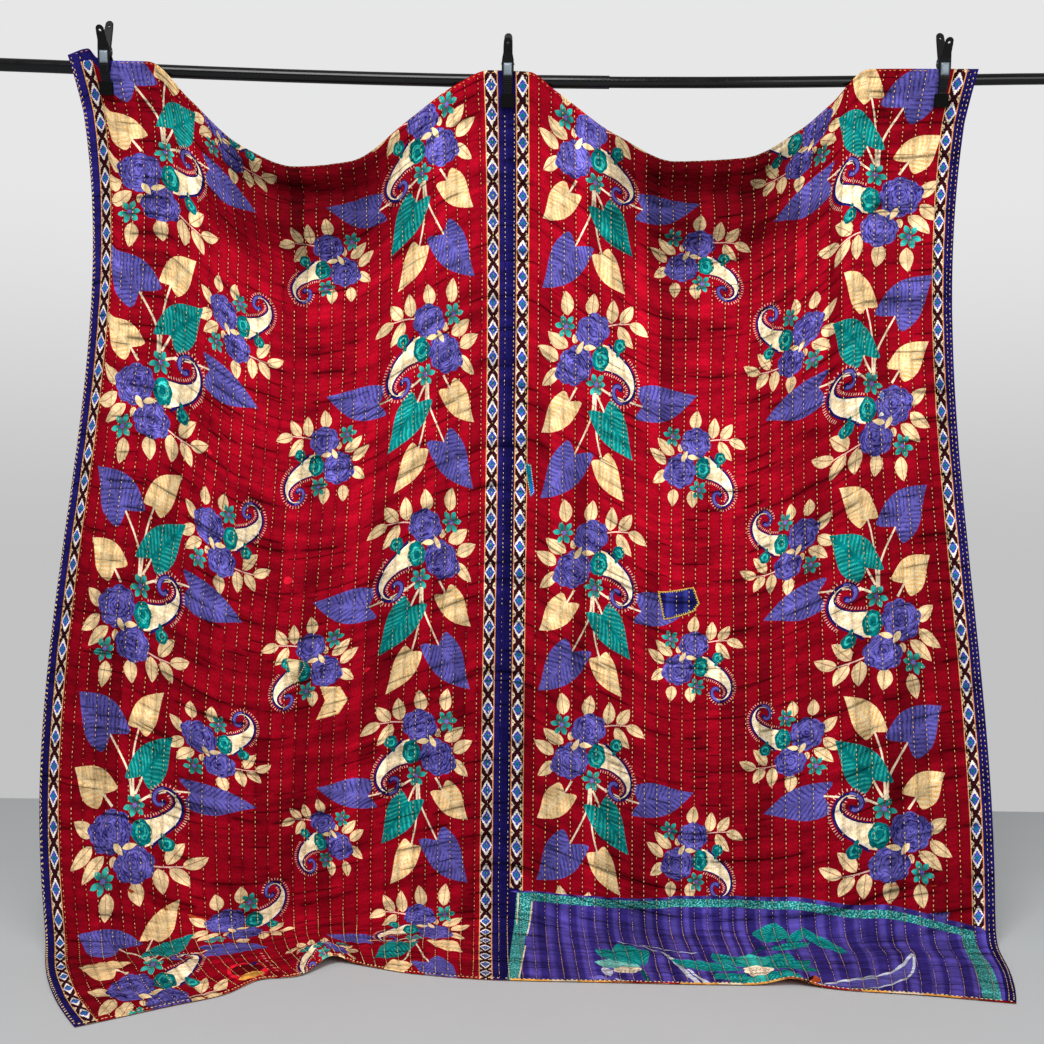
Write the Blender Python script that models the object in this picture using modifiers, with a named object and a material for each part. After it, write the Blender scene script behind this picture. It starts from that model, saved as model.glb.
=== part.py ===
"""Kantha quilt of two sari widths, hung by three spring clamps from a telescoping rod.

Run with: blender --background --python part.py, or from Blender's text editor.
Frame: metres, +Z up, origin at the middle of the rod's left end face, X along the rod,
+Y away from the printed face. The cloth hangs in front of the rod and its hem lies on
the floor, towards -Y.
"""

import math

import bmesh
import bpy
import numpy as np
from mathutils import Matrix, Vector

# ---- driving dimensions, in metres ---------------------------------------------------
TOUCH = 0.0003          # gap between pieces that touch
ROD_LENGTH = 2.64
MIDDLE = ROD_LENGTH / 2
FLOOR_Z = -1.984        # the floor below the rod's ends
ROD_SAG = 0.025
SAG_POWER = 1.35
OUTER_RADIUS = 0.015
OUTER_WALL = 0.0017
INNER_RADIUS = 0.013
INNER_WALL = 0.0015
STEP_X = 0.190          # where the outer tube ends, from the rod's middle
TUBE_OVERLAP = 0.300
TUBE_SIDES = 22
TUBE_STATIONS = 9
PLUG_FLANGE = 0.004
PLUG_SPIGOT = 0.012
PLUG_EASE = 0.0009      # the spigot in its bore, where the rod starts to sag

QUILT_WIDTH = 1.180     # one sari width, seam to outer edge, laid flat
QUILT_LENGTH = 2.480    # top edge to hem, laid flat
QUILT_THICKNESS = 0.0025
STITCH_ROWS = 37        # rows of running stitch in one width
STITCH_RELIEF = 0.0011  # how far a channel stands proud between two rows
CLAMP_TILT = math.radians(15)
PAD_FORWARD = 0.008     # centre of a clamp's pads, in front of the rod's axis
PAD_BELOW = 0.044       # and below it
PINCH_REACH = 0.100     # how far below the rod the cloth keeps to the clamps' plane
BEND_RADIUS = 0.028     # softness of the bend where the cloth meets the floor

CLAMP_PLACES = {"left": -0.980, "centre": -0.047, "right": 0.962}
CLAMP_SEAT = 0.0019     # a clamp on the thinner tube sits this much lower

# The top edge, from the left outer edge (-1) by the seam (0) to the right edge (1):
# share of a width across, place along the rod from its middle, height over the rod's ends.
TOP_EDGE = np.array([
    (-1.000, -1.067, 0.014), (-0.958, -1.019, 0.028), (-0.936, -0.998, 0.008),
    (-0.900, -0.960, 0.003), (-0.835, -0.883, 0.002), (-0.728, -0.789, -0.078), (-0.594, -0.671, -0.182),
    (-0.475, -0.541, -0.232), (-0.364, -0.413, -0.218), (-0.215, -0.274, -0.114),
    (-0.096, -0.159, -0.035), (-0.036, -0.090, -0.008), (0.046, 0.001, -0.010),
    (0.103, 0.062, -0.048), (0.254, 0.217, -0.151), (0.371, 0.346, -0.208),
    (0.505, 0.510, -0.197), (0.625, 0.637, -0.129), (0.700, 0.707, -0.070),
    (0.794, 0.792, 0.006), (1.000, 1.044, 0.010),
])
# How each stretch falls: share across; place at half height, at the floor and at the hem;
# how far forward it meets the floor and how far forward the hem lies; cloth above the floor.
FALL = np.array([
    (-1.00, -1.051, -1.013, -0.800, 0.226, 0.668, 2.030),
    (-0.81, -0.878, -0.850, -0.655, 0.190, 0.562, 2.005),
    (-0.70, -0.775, -0.760, -0.568, 0.160, 0.500, 1.970),
    (-0.59, -0.660, -0.655, -0.512, 0.120, 0.415, 1.935),
    (-0.50, -0.565, -0.565, -0.445, 0.090, 0.395, 1.930),
    (-0.37, -0.430, -0.440, -0.367, 0.060, 0.315, 1.950),
    (-0.19, -0.228, -0.235, -0.209, 0.050, 0.370, 2.010),
    (0.00, -0.039, -0.036, -0.028, 0.050, 0.400, 2.040),
    (0.19, 0.165, 0.165, 0.172, 0.050, 0.405, 1.970),
    (0.40, 0.385, 0.385, 0.385, 0.060, 0.410, 1.910),
    (0.57, 0.565, 0.570, 0.553, 0.070, 0.410, 1.920),
    (0.70, 0.705, 0.720, 0.680, 0.090, 0.435, 1.950),
    (0.81, 0.831, 0.855, 0.790, 0.110, 0.450, 2.000),
    (1.00, 1.030, 1.062, 0.979, 0.150, 0.490, 2.050),
])
HALF_HEIGHT_SHARE = 0.53
LEAN_POWER = 3.2
# Folds that run across, hung like a U between two clamps: centre and half-length as shares
# of a width, distance below the top edge, how much lower the ends are, half-width, depth.
SWAG_FOLDS = np.array([
    (-0.45, 0.34, 0.020, 0.010, 0.022, 0.016),
    (-0.43, 0.33, 0.072, 0.050, 0.024, -0.018),
    (-0.46, 0.38, 0.150, 0.080, 0.045, 0.022),
    (-0.50, 0.30, 0.265, 0.100, 0.035, -0.015),
    (-0.42, 0.36, 0.400, 0.120, 0.080, 0.014),
    (0.43, 0.34, 0.020, 0.010, 0.022, 0.016),
    (0.40, 0.31, 0.075, 0.060, 0.024, -0.016),
    (0.45, 0.36, 0.150, 0.090, 0.045, 0.022),
    (0.52, 0.30, 0.240, 0.080, 0.035, -0.014),
    (0.44, 0.36, 0.390, 0.120, 0.080, 0.013),
])
# Folds that run down: share across, drift across per metre down, middle below the top
# edge, half-length, half-width, depth. The last two are the tuck and the kink at the hem.
DOWN_FOLDS = np.array([
    (-0.88, 0.00, 1.00, 1.10, 0.060, 0.012),
    (-0.72, 0.02, 0.95, 0.80, 0.055, -0.020),
    (-0.55, 0.00, 1.20, 0.90, 0.090, 0.018),
    (-0.33, 0.00, 1.10, 0.95, 0.100, -0.016),
    (-0.12, 0.00, 0.90, 0.90, 0.070, 0.012),
    (0.10, 0.00, 1.20, 0.90, 0.060, 0.010),
    (0.30, 0.00, 1.00, 0.90, 0.100, -0.014),
    (0.52, 0.00, 1.10, 0.95, 0.090, 0.016),
    (0.66, 0.02, 0.75, 0.75, 0.045, -0.022),
    (0.76, 0.01, 0.70, 0.75, 0.040, 0.022),
    (0.90, 0.00, 1.20, 0.90, 0.060, -0.010),
])
# Lumps of cloth on the floor: share across, distance below the top edge, half-width,
# half-length, height.
FLOOR_LUMPS = np.array([
    (-0.40, 2.40, 0.055, 0.130, 0.026),
    (-0.78, 2.24, 0.120, 0.070, 0.014),
    (-0.17, 2.26, 0.090, 0.060, 0.012),
    (0.30, 2.25, 0.110, 0.060, 0.010),
    (0.575, 2.44, 0.045, 0.080, 0.018),
    (0.80, 2.20, 0.110, 0.070, 0.012),
])
# Rows of points down the cloth's solids: distances below the top edge, then shares of the
# way from there to the floor, distances about the bend, and shares of the way to the hem.
TOP_ROWS = (0.0, 0.030, 0.060, 0.100, 0.150, 0.210, 0.280, 0.390)
HANGING_SHARES = (0.16, 0.42, 0.70, 0.90)
BEND_ROWS = (-0.040, 0.010, 0.060)
HEM_SHARES = (0.45, 1.0)

# Clamp arms in the clamp's own plane: forward of the cloth, up along the clamp,
# thickness, width. The first station is the tip inside the pad.
FRONT_ARM = (
    (0.0075, -0.008, 0.005, 0.018), (0.0075, 0.0115, 0.005, 0.020),
    (0.0075, 0.0145, 0.005, 0.020), (0.0105, 0.026, 0.006, 0.022),
    (0.0125, 0.044, 0.006, 0.023), (0.0112, 0.063, 0.006, 0.028),
    (0.0085, 0.078, 0.006, 0.028), (0.0100, 0.089, 0.006, 0.026),
    (0.0150, 0.101, 0.006, 0.021), (0.0225, 0.116, 0.006, 0.020),
    (0.0280, 0.1265, 0.005, 0.018), (0.0298, 0.1300, 0.004, 0.013),
    (0.0308, 0.1320, 0.003, 0.006),
)
REAR_ARM = (
    (-0.0075, -0.008, 0.005, 0.018), (-0.0075, 0.0115, 0.005, 0.020),
    (-0.0082, 0.0138, 0.005, 0.020), (-0.0298, 0.0251, 0.006, 0.021),
    (-0.0360, 0.0325, 0.006, 0.021), (-0.0376, 0.0436, 0.006, 0.021),
    (-0.0335, 0.0525, 0.006, 0.021), (-0.0258, 0.0583, 0.006, 0.021),
    (-0.0170, 0.0675, 0.006, 0.021), (-0.0150, 0.0780, 0.006, 0.021),
    (-0.0170, 0.0890, 0.006, 0.021), (-0.0260, 0.1050, 0.006, 0.021),
    (-0.0410, 0.1300, 0.006, 0.020), (-0.0495, 0.1430, 0.005, 0.018),
    (-0.0518, 0.1465, 0.004, 0.013), (-0.0530, 0.1485, 0.003, 0.006),
)
FRONT_EYELET = (0.0253, 0.1213)
REAR_EYELET = (-0.0450, 0.1362)
EYELET_RADIUS = 0.0034
PIVOT = (-0.0040, 0.0780)
PIN_RADIUS = 0.0025
PIN_HALF_LENGTH = 0.0155
FRONT_CHEEK = (0.0110, 0.0136, 0.0105)   # inner and outer X, radius
REAR_CHEEK = (0.0072, 0.0101, 0.0060)
WEB_INSET = 0.0003      # a cheek's web is this much thinner at each side
SPRING_WIRE_RADIUS = 0.0007
SPRING_RADIUS = 0.0037
SPRING_TURNS = 5
SPRING_HALF_LENGTH = 0.0056
PAD_WIDTH = 0.030
PAD_TOP = 0.0105         # above the middle of the pinch
PAD_BOTTOM = -0.0195
PAD_INNER = QUILT_THICKNESS / 2 + TOUCH
PAD_OUTER = 0.0130

COLOURS = {
    "left_cloth": (0.42, 0.02, 0.05, 1), "right_cloth": (0.36, 0.03, 0.08, 1),
    "outer_tube": (0.02, 0.02, 0.022, 1), "inner_tube": (0.028, 0.028, 0.03, 1),
    "plug": (0.015, 0.015, 0.015, 1), "arm": (0.02, 0.02, 0.022, 1),
    "pad": (0.008, 0.008, 0.008, 1), "steel": (0.45, 0.46, 0.48, 1),
}


# ---- scene helpers -------------------------------------------------------------------
def clear_scene():
    for item in list(bpy.data.objects):
        bpy.data.objects.remove(item, do_unlink=True)


def collection(name):
    made = bpy.data.collections.new(name)
    bpy.context.scene.collection.children.link(made)
    return made


def material(name, colour, roughness, metallic=0.0):
    made = bpy.data.materials.new(name)
    made.use_nodes = True
    shader = made.node_tree.nodes["Principled BSDF"]
    shader.inputs["Base Color"].default_value = colour
    shader.inputs["Roughness"].default_value = roughness
    shader.inputs["Metallic"].default_value = metallic
    return made


def object_from(name, mesh, folder, finish=None):
    made = bpy.data.objects.new(name, mesh)
    folder.objects.link(made)
    if finish:
        mesh.materials.append(finish)
    return made


def mesh_from_bmesh(name, shape):
    mesh = bpy.data.meshes.new(name)
    shape.to_mesh(mesh)
    shape.free()
    return mesh


def cutter_from(name, mesh, cutters):
    made = object_from(name, mesh, cutters)
    made.hide_render = True
    made.display_type = "WIRE"
    return made


def boolean(target, other, operation):
    change = target.modifiers.new(other.name, "BOOLEAN")
    change.operation = operation
    change.object = other
    change.solver = "EXACT"


def shade_smooth(item, degrees=40):
    item.data.shade_smooth()
    item.data.set_sharp_from_angle(angle=math.radians(degrees))


def box_mesh(name, low, high):
    shape = bmesh.new()
    size = [b - a for a, b in zip(low, high)]
    centre = [(a + b) / 2 for a, b in zip(low, high)]
    bmesh.ops.create_cube(shape, size=1)
    bmesh.ops.scale(shape, vec=size, verts=shape.verts)
    bmesh.ops.translate(shape, vec=centre, verts=shape.verts)
    return mesh_from_bmesh(name, shape)


def cylinder_mesh(name, radius, start, end, sides=20):
    """A closed cylinder between two points."""
    start, end = Vector(start), Vector(end)
    along = end - start
    shape = bmesh.new()
    bmesh.ops.create_cone(shape, cap_ends=True, cap_tris=False, segments=sides,
                          radius1=radius, radius2=radius, depth=along.length)
    turn = along.to_track_quat("Z", "Y").to_matrix().to_4x4()
    place = Matrix.Translation((start + end) / 2) @ turn
    bmesh.ops.transform(shape, matrix=place, verts=shape.verts)
    return mesh_from_bmesh(name, shape)


# ---- the rod's line and the cloth's surface ------------------------------------------
def rod_height(across):
    """Height of the rod's axis at a distance from its middle: a shallow sag."""
    share = np.clip(np.abs(across) / MIDDLE, 0, 1)
    return -ROD_SAG * (1 - share ** 2) ** SAG_POWER


def read_table(table, column, at):
    """Cubic through a table's rows with limited slopes, so that it never overshoots."""
    knots, values = table[:, 0], table[:, column]
    step = np.diff(knots)
    rise = np.diff(values) / step
    same_way = rise[:-1] * rise[1:] > 0
    inner = np.where(same_way, 2 * rise[:-1] * rise[1:] / (rise[:-1] + rise[1:] + 1e-12), 0)
    slope = np.concatenate([rise[:1], inner, rise[-1:]])
    place = np.clip(np.searchsorted(knots, at) - 1, 0, len(step) - 1)
    gap = step[place]
    u = np.clip((at - knots[place]) / gap, 0, 1)
    return ((1 + 2 * u) * (1 - u) ** 2 * values[place]
            + u * (1 - u) ** 2 * gap * slope[place]
            + u ** 2 * (3 - 2 * u) * values[place + 1]
            + u ** 2 * (u - 1) * gap * slope[place + 1])


def through_four(at, places, values):
    """The cubic through four places down the cloth, for every column at once."""
    total = 0
    for i, value in enumerate(values):
        weight = 1
        for j in range(len(places)):
            if j != i:
                weight = weight * (at - places[j]) / (places[i] - places[j])
        total = total + weight * value
    return total


def pinch_height(across):
    """The rod's height, made level across each clamp's pads so that they meet flat cloth."""
    height = rod_height(across)
    for place in CLAMP_PLACES.values():
        near = np.exp(-((across - place) / 0.05) ** 6)
        height = height + near * (rod_height(place) - height)
    return height


def clamp_shelter(across, below_rod):
    """0 at a clamp's pads, 1 away from them: no fold or channel reaches the pads."""
    shelter = 1
    for place in CLAMP_PLACES.values():
        reach = ((across - place) / 0.055) ** 4 + (below_rod / 0.12) ** 4
        shelter = shelter * (1 - np.exp(-reach))
    return shelter


def fold_depth(a, down):
    """Sum of the swag folds and the folds that run down, forward of the plain hang."""
    depth = 0
    for centre, half, start, lower, width, height in SWAG_FOLDS:
        away = (a - centre) / half
        line = start + lower * away ** 2
        fade = np.clip(1 - away ** 2, 0, 1) ** 1.5
        depth = depth + height * fade * np.exp(-((down - line) / width) ** 2)
    for centre, drift, middle, half, width, height in DOWN_FOLDS:
        away = (a - centre - drift * (down - middle)) * QUILT_WIDTH
        fade = np.clip(1 - ((down - middle) / half) ** 2, 0, 1)
        depth = depth + height * fade * np.exp(-(away / width) ** 2)
    return depth


def quilt_surface(s, down):
    """Middle surface of the cloth: s across from the seam, down from the top edge."""
    a = s / QUILT_WIDTH
    x_top, z_top = read_table(TOP_EDGE, 1, a), read_table(TOP_EDGE, 2, a)
    x_half, x_floor, x_hem, f_floor, f_hem, above = (
        read_table(FALL, column, a) for column in range(1, 7))
    run = BEND_RADIUS * np.logaddexp(0, (down - above) / BEND_RADIUS)
    hung = down - run
    x = through_four(down, (0 * a, HALF_HEIGHT_SHARE * above, above, QUILT_LENGTH + 0 * a),
                     (x_top, x_half, x_floor, x_hem))
    floor_z = FLOOR_Z + QUILT_THICKNESS / 2 + STITCH_RELIEF
    share = hung / above
    z = z_top + (floor_z - z_top) * share
    forward = f_floor * np.clip(share, 0, 1) ** LEAN_POWER
    forward = forward + (f_hem - f_floor) * run / (QUILT_LENGTH - above)
    below_rod = z - pinch_height(x)
    seat = CLAMP_SEAT * np.clip(x / 0.6, 0, 1)
    held = np.maximum(below_rod, -PINCH_REACH) + PAD_BELOW + seat
    fading = np.exp(np.minimum(below_rod + PINCH_REACH, 0) / PINCH_REACH)
    forward = forward + (PAD_FORWARD + math.tan(CLAMP_TILT) * held) * fading
    shelter = clamp_shelter(x, below_rod)
    hanging = np.clip((above - down) / 0.40, 0, 1) ** 1.5
    below_edge = np.clip(-(below_rod + 0.02) / 0.05, 0, 1)
    forward = forward + fold_depth(a, down) * shelter * hanging * below_edge
    for centre, middle, width, length, height in FLOOR_LUMPS:
        near = ((a - centre) / width) ** 2 + ((down - middle) / length) ** 2
        z = z + height * np.exp(-near)
    return np.stack([MIDDLE + x, -forward, z], -1), shelter


def surface_normals(s, down):
    step = 0.004
    right = quilt_surface(s + step, down)[0] - quilt_surface(s - step, down)[0]
    lower = quilt_surface(s, down + step)[0] - quilt_surface(s, down - step)[0]
    out = np.cross(lower, right)
    return out / np.linalg.norm(out, axis=-1, keepdims=True)


# ---- sub-parts -----------------------------------------------------------------------
def make_quilt_width(name, side, folder, finish):
    """One sari width as a closed sheet, channels raised between its rows of stitching.

    Even columns lie on a row of stitching and odd ones on the channel between two rows.
    """
    columns = 2 * STITCH_ROWS + 1
    half_gap = TOUCH / 2
    inner_to_outer = np.linspace(half_gap, QUILT_WIDTH, columns)
    s = side * inner_to_outer
    if side < 0:
        s = s[::-1]
    above = read_table(FALL, 6, s / QUILT_WIDTH)
    hung = above + BEND_ROWS[0] - TOP_ROWS[-1]
    laid = QUILT_LENGTH - above - BEND_ROWS[-1]
    grid_down = np.stack(
        [0 * s + row for row in TOP_ROWS]
        + [TOP_ROWS[-1] + share * hung for share in HANGING_SHARES]
        + [above + row for row in BEND_ROWS]
        + [above + BEND_ROWS[-1] + share * laid for share in HEM_SHARES])
    grid_s = np.broadcast_to(s, grid_down.shape)
    middle, shelter = quilt_surface(grid_s, grid_down)
    normal = surface_normals(grid_s, grid_down)
    channel = np.where(np.arange(columns) % 2, 1.0, -1.0) * STITCH_RELIEF / 2
    relief = (channel * shelter)[..., None] * normal
    half = QUILT_THICKNESS / 2 * normal
    front = middle + relief + half
    back = middle + relief - half
    floor = FLOOR_Z
    back[..., 2] = np.maximum(back[..., 2], floor)
    rows = len(grid_down)
    points = np.concatenate([front.reshape(-1, 3), back.reshape(-1, 3)])
    at = np.arange(rows * columns).reshape(rows, columns)
    a, b, c, d = at[:-1, :-1], at[1:, :-1], at[1:, 1:], at[:-1, 1:]
    facing = np.stack([a, b, c, d], -1).reshape(-1, 4)
    behind = facing[:, ::-1] + rows * columns
    rim = np.concatenate([at[:, 0], at[-1, 1:], at[-2::-1, -1], at[0, -2:0:-1]])
    after = np.roll(rim, -1)
    edge = np.stack([after, rim, rim + rows * columns, after + rows * columns], -1)
    mesh = bpy.data.meshes.new(name)
    faces = np.concatenate([facing, behind, edge])
    mesh.from_pydata(points.tolist(), [], faces.tolist())
    mesh.update()
    made = object_from(name, mesh, folder, finish)
    shade_smooth(made, 60)
    return made


def make_tube(name, start, end, radius, wall, folder, finish):
    """A tube along the rod's line: an open skin with its wall turned inwards."""
    stations = np.linspace(start, end, TUBE_STATIONS)
    turns = np.arange(TUBE_SIDES) * 2 * math.pi / TUBE_SIDES
    along, around = np.meshgrid(stations, turns, indexing="ij")
    slope = np.gradient(rod_height(stations), stations)[:, None]
    slope[[0, -1]] = 0      # both ends are cut plumb
    lift = radius * np.sin(around)
    points = np.stack([MIDDLE + along - slope * lift, radius * np.cos(around),
                       rod_height(along) + lift], -1).reshape(-1, 3)
    at = np.arange(points.shape[0]).reshape(len(stations), TUBE_SIDES)
    nearer, farther = at[:-1], at[1:]
    faces = np.stack([nearer, farther, np.roll(farther, -1, 1), np.roll(nearer, -1, 1)], -1)
    mesh = bpy.data.meshes.new(name)
    mesh.from_pydata(points.tolist(), [], faces.reshape(-1, 4)[:, ::-1].tolist())
    mesh.update()
    made = object_from(name, mesh, folder, finish)
    skin = made.modifiers.new("wall", "SOLIDIFY")
    skin.thickness = wall
    skin.offset = -1
    skin.use_even_offset = True
    shade_smooth(made)
    return made


def make_end_plug(name, side, bore, folder, finish):
    """A turned plastic plug: a flange on the tube's end and a hollow spigot inside it."""
    flange_radius = bore + 0.0018
    spigot = bore - PLUG_EASE
    profile = (
        (0.0, 0.0), (flange_radius - 0.001, 0.0), (flange_radius, 0.001),
        (flange_radius, PLUG_FLANGE - TOUCH), (spigot, PLUG_FLANGE - TOUCH),
        (spigot, PLUG_FLANGE + PLUG_SPIGOT), (spigot - 0.002, PLUG_FLANGE + PLUG_SPIGOT),
        (spigot - 0.002, PLUG_FLANGE), (0.0, PLUG_FLANGE),
    )
    shape = bmesh.new()
    corners = [shape.verts.new((radius, 0, -height)) for radius, height in profile]
    for first, second in zip(corners, corners[1:]):
        shape.edges.new((first, second))
    made = object_from(name, mesh_from_bmesh(name, shape), folder, finish)
    turn = made.modifiers.new("turn", "SCREW")
    turn.steps = turn.render_steps = TUBE_SIDES
    turn.use_merge_vertices = True
    turn.merge_threshold = 0.00001
    made.rotation_euler = (0, -side * math.pi / 2 + math.pi, 0)
    made.location = (MIDDLE + side * MIDDLE, 0, 0)
    return made


def clamp_matrix(place, seat):
    """The clamp's own plane in the world: X along the rod, Y forward, Z up the clamp."""
    c, s = math.cos(CLAMP_TILT), math.sin(CLAMP_TILT)
    turn = Matrix(((1, 0, 0, 0), (0, -c, -s, 0), (0, -s, c, 0), (0, 0, 0, 1)))
    centre = (MIDDLE + place, -PAD_FORWARD, float(rod_height(place)) - PAD_BELOW - seat)
    return Matrix.Translation(centre) @ turn


def arm_mesh(name, stations):
    """An arm lofted along its stations, each a rectangle with its corners cut."""
    q, p, thick, width = (np.array(column) for column in zip(*stations))
    dq, dp = np.gradient(q), np.gradient(p)
    length = np.hypot(dq, dp)
    nq, np_ = dp / length, -dq / length
    cut = 0.28
    outline = np.array([
        (-1, -cut), (-1, cut), (-1 + cut / 2, 1), (1 - cut / 2, 1),
        (1, cut), (1, -cut), (1 - cut / 2, -1), (-1 + cut / 2, -1),
    ]) / 2
    across = outline[None, :, 0] * width[:, None]
    outward = outline[None, :, 1] * thick[:, None]
    points = np.stack([across, q[:, None] + nq[:, None] * outward,
                       p[:, None] + np_[:, None] * outward], -1)
    count, corners = points.shape[:2]
    at = np.arange(count * corners).reshape(count, corners)
    lower, upper = at[:-1], at[1:]
    sides = np.stack([lower, np.roll(lower, -1, 1), np.roll(upper, -1, 1), upper], -1)
    faces = sides.reshape(-1, 4).tolist() + [at[0, ::-1].tolist(), at[-1].tolist()]
    mesh = bpy.data.meshes.new(name)
    mesh.from_pydata(points.reshape(-1, 3).tolist(), [], faces)
    shape = bmesh.new()
    shape.from_mesh(mesh)
    bmesh.ops.recalc_face_normals(shape, faces=shape.faces)
    shape.to_mesh(mesh)
    shape.free()
    return mesh


def make_arm(name, stations, cheek, eyelet, frame, folder, cutters, finish):
    """A clamp arm with two cheeks round the pivot, bored for the pin, and an eyelet."""
    made = object_from(name, arm_mesh(name, stations), folder, finish)
    inner, outer, radius = cheek
    pivot_q, pivot_p = PIVOT
    arm_q = np.interp(pivot_p, [row[1] for row in stations], [row[0] for row in stations])
    additions = []
    for side in (-1, 1):
        near, far = sorted((side * inner, side * outer))
        additions.append(cylinder_mesh(name + "_cheek", radius, (near, pivot_q, pivot_p),
                                       (far, pivot_q, pivot_p), 20))
        low_q, high_q = sorted((pivot_q, float(arm_q)))
        web_half = 0.8 * radius
        additions.append(box_mesh(name + "_web",
                                  (near + WEB_INSET, low_q, pivot_p - web_half),
                                  (far - WEB_INSET, high_q, pivot_p + web_half)))
    for index, mesh in enumerate(additions):
        boolean(made, cutter_from(f"{name}_add_{index}", mesh, cutters), "UNION")
    bore = cylinder_mesh(name + "_bore", PIN_RADIUS + TOUCH, (-0.03, pivot_q, pivot_p),
                         (0.03, pivot_q, pivot_p), 12)
    boolean(made, cutter_from(name + "_bore", bore, cutters), "DIFFERENCE")
    tip, end = stations[-4], stations[-3]
    along = Vector((0, end[0] - tip[0], end[1] - tip[1])).normalized()
    through = Vector((0, along.z, -along.y)) * 0.012
    centre = Vector((0, eyelet[0], eyelet[1]))
    hole = cylinder_mesh(name + "_eyelet", EYELET_RADIUS, centre - through,
                         centre + through, 12)
    boolean(made, cutter_from(name + "_eyelet", hole, cutters), "DIFFERENCE")
    made.matrix_world = frame
    for change in made.modifiers:
        change.object.matrix_world = frame
    return made


def make_pad(name, side, frame, folder, cutters, finish):
    """A rubber shoe over an arm's tip, open at its top for the tip."""
    near, far = sorted((side * PAD_INNER, side * PAD_OUTER))
    low = (-PAD_WIDTH / 2, near, PAD_BOTTOM)
    high = (PAD_WIDTH / 2, far, PAD_TOP)
    made = object_from(name, box_mesh(name, low, high), folder, finish)
    tip = FRONT_ARM[0]
    wide = FRONT_ARM[1][3] / 2 + TOUCH
    thick = tip[2] / 2 + TOUCH
    pocket = box_mesh(name + "_pocket", (-wide, side * tip[0] - thick, tip[1] - TOUCH),
                      (wide, side * tip[0] + thick, PAD_TOP + TOUCH))
    cutter = cutter_from(name + "_pocket", pocket, cutters)
    boolean(made, cutter, "DIFFERENCE")
    made.matrix_world = frame
    cutter.matrix_world = frame
    return made


def make_spring(name, frame, folder, finish):
    """A coil of round wire about the pivot pin."""
    points_per_turn = 8
    count = SPRING_TURNS * points_per_turn + 1
    curve = bpy.data.curves.new(name, "CURVE")
    curve.dimensions = "3D"
    curve.bevel_depth = SPRING_WIRE_RADIUS
    curve.bevel_resolution = 0
    curve.use_fill_caps = True
    line = curve.splines.new("POLY")
    line.points.add(count - 1)
    for index in range(count):
        turn = 2 * math.pi * index / points_per_turn
        x = SPRING_HALF_LENGTH * (2 * index / (count - 1) - 1)
        line.points[index].co = (x, PIVOT[0] + SPRING_RADIUS * math.cos(turn),
                                 PIVOT[1] + SPRING_RADIUS * math.sin(turn), 1)
    made = bpy.data.objects.new(name, curve)
    folder.objects.link(made)
    curve.materials.append(finish)
    made.matrix_world = frame
    return made


def make_clamp(which, folder, cutters, finishes):
    place = CLAMP_PLACES[which]
    seat = CLAMP_SEAT if place > STEP_X else 0.0
    frame = clamp_matrix(place, seat)
    name = f"clamp_{which}_"
    make_arm(name + "front_arm", FRONT_ARM, FRONT_CHEEK, FRONT_EYELET, frame, folder,
             cutters, finishes["arm"])
    make_arm(name + "rear_arm", REAR_ARM, REAR_CHEEK, REAR_EYELET, frame, folder,
             cutters, finishes["arm"])
    make_pad(name + "front_pad", 1, frame, folder, cutters, finishes["pad"])
    make_pad(name + "rear_pad", -1, frame, folder, cutters, finishes["pad"])
    pin = cylinder_mesh(name + "pin", PIN_RADIUS, (-PIN_HALF_LENGTH, *PIVOT),
                        (PIN_HALF_LENGTH, *PIVOT), 12)
    object_from(name + "pin", pin, folder, finishes["steel"]).matrix_world = frame
    make_spring(name + "spring", frame, folder, finishes["steel"])


def main():
    clear_scene()
    folder = collection("hung_kantha_quilt")
    cutters = collection("cutters")
    finishes = {
        "left_cloth": material("left_cloth", COLOURS["left_cloth"], 0.85),
        "right_cloth": material("right_cloth", COLOURS["right_cloth"], 0.85),
        "outer_tube": material("outer_tube", COLOURS["outer_tube"], 0.35, 0.6),
        "inner_tube": material("inner_tube", COLOURS["inner_tube"], 0.32, 0.6),
        "plug": material("plug", COLOURS["plug"], 0.55),
        "arm": material("arm", COLOURS["arm"], 0.45),
        "pad": material("pad", COLOURS["pad"], 0.8),
        "steel": material("steel", COLOURS["steel"], 0.3, 1.0),
    }
    make_quilt_width("quilt_left_width", -1, folder, finishes["left_cloth"])
    make_quilt_width("quilt_right_width", 1, folder, finishes["right_cloth"])
    make_tube("rod_outer_tube", -MIDDLE + PLUG_FLANGE, STEP_X, OUTER_RADIUS, OUTER_WALL,
              folder, finishes["outer_tube"])
    make_tube("rod_inner_tube", STEP_X - TUBE_OVERLAP, MIDDLE - PLUG_FLANGE, INNER_RADIUS,
              INNER_WALL, folder, finishes["inner_tube"])
    make_end_plug("rod_left_plug", -1, OUTER_RADIUS - OUTER_WALL, folder, finishes["plug"])
    make_end_plug("rod_right_plug", 1, INNER_RADIUS - INNER_WALL, folder, finishes["plug"])
    for which in CLAMP_PLACES:
        make_clamp(which, folder, cutters, finishes)


main()
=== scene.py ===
import math

import bmesh
import bpy
import numpy as np
from bpy.props import FloatProperty, FloatVectorProperty, IntProperty, PointerProperty
from mathutils import Matrix, Vector, geometry


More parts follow.
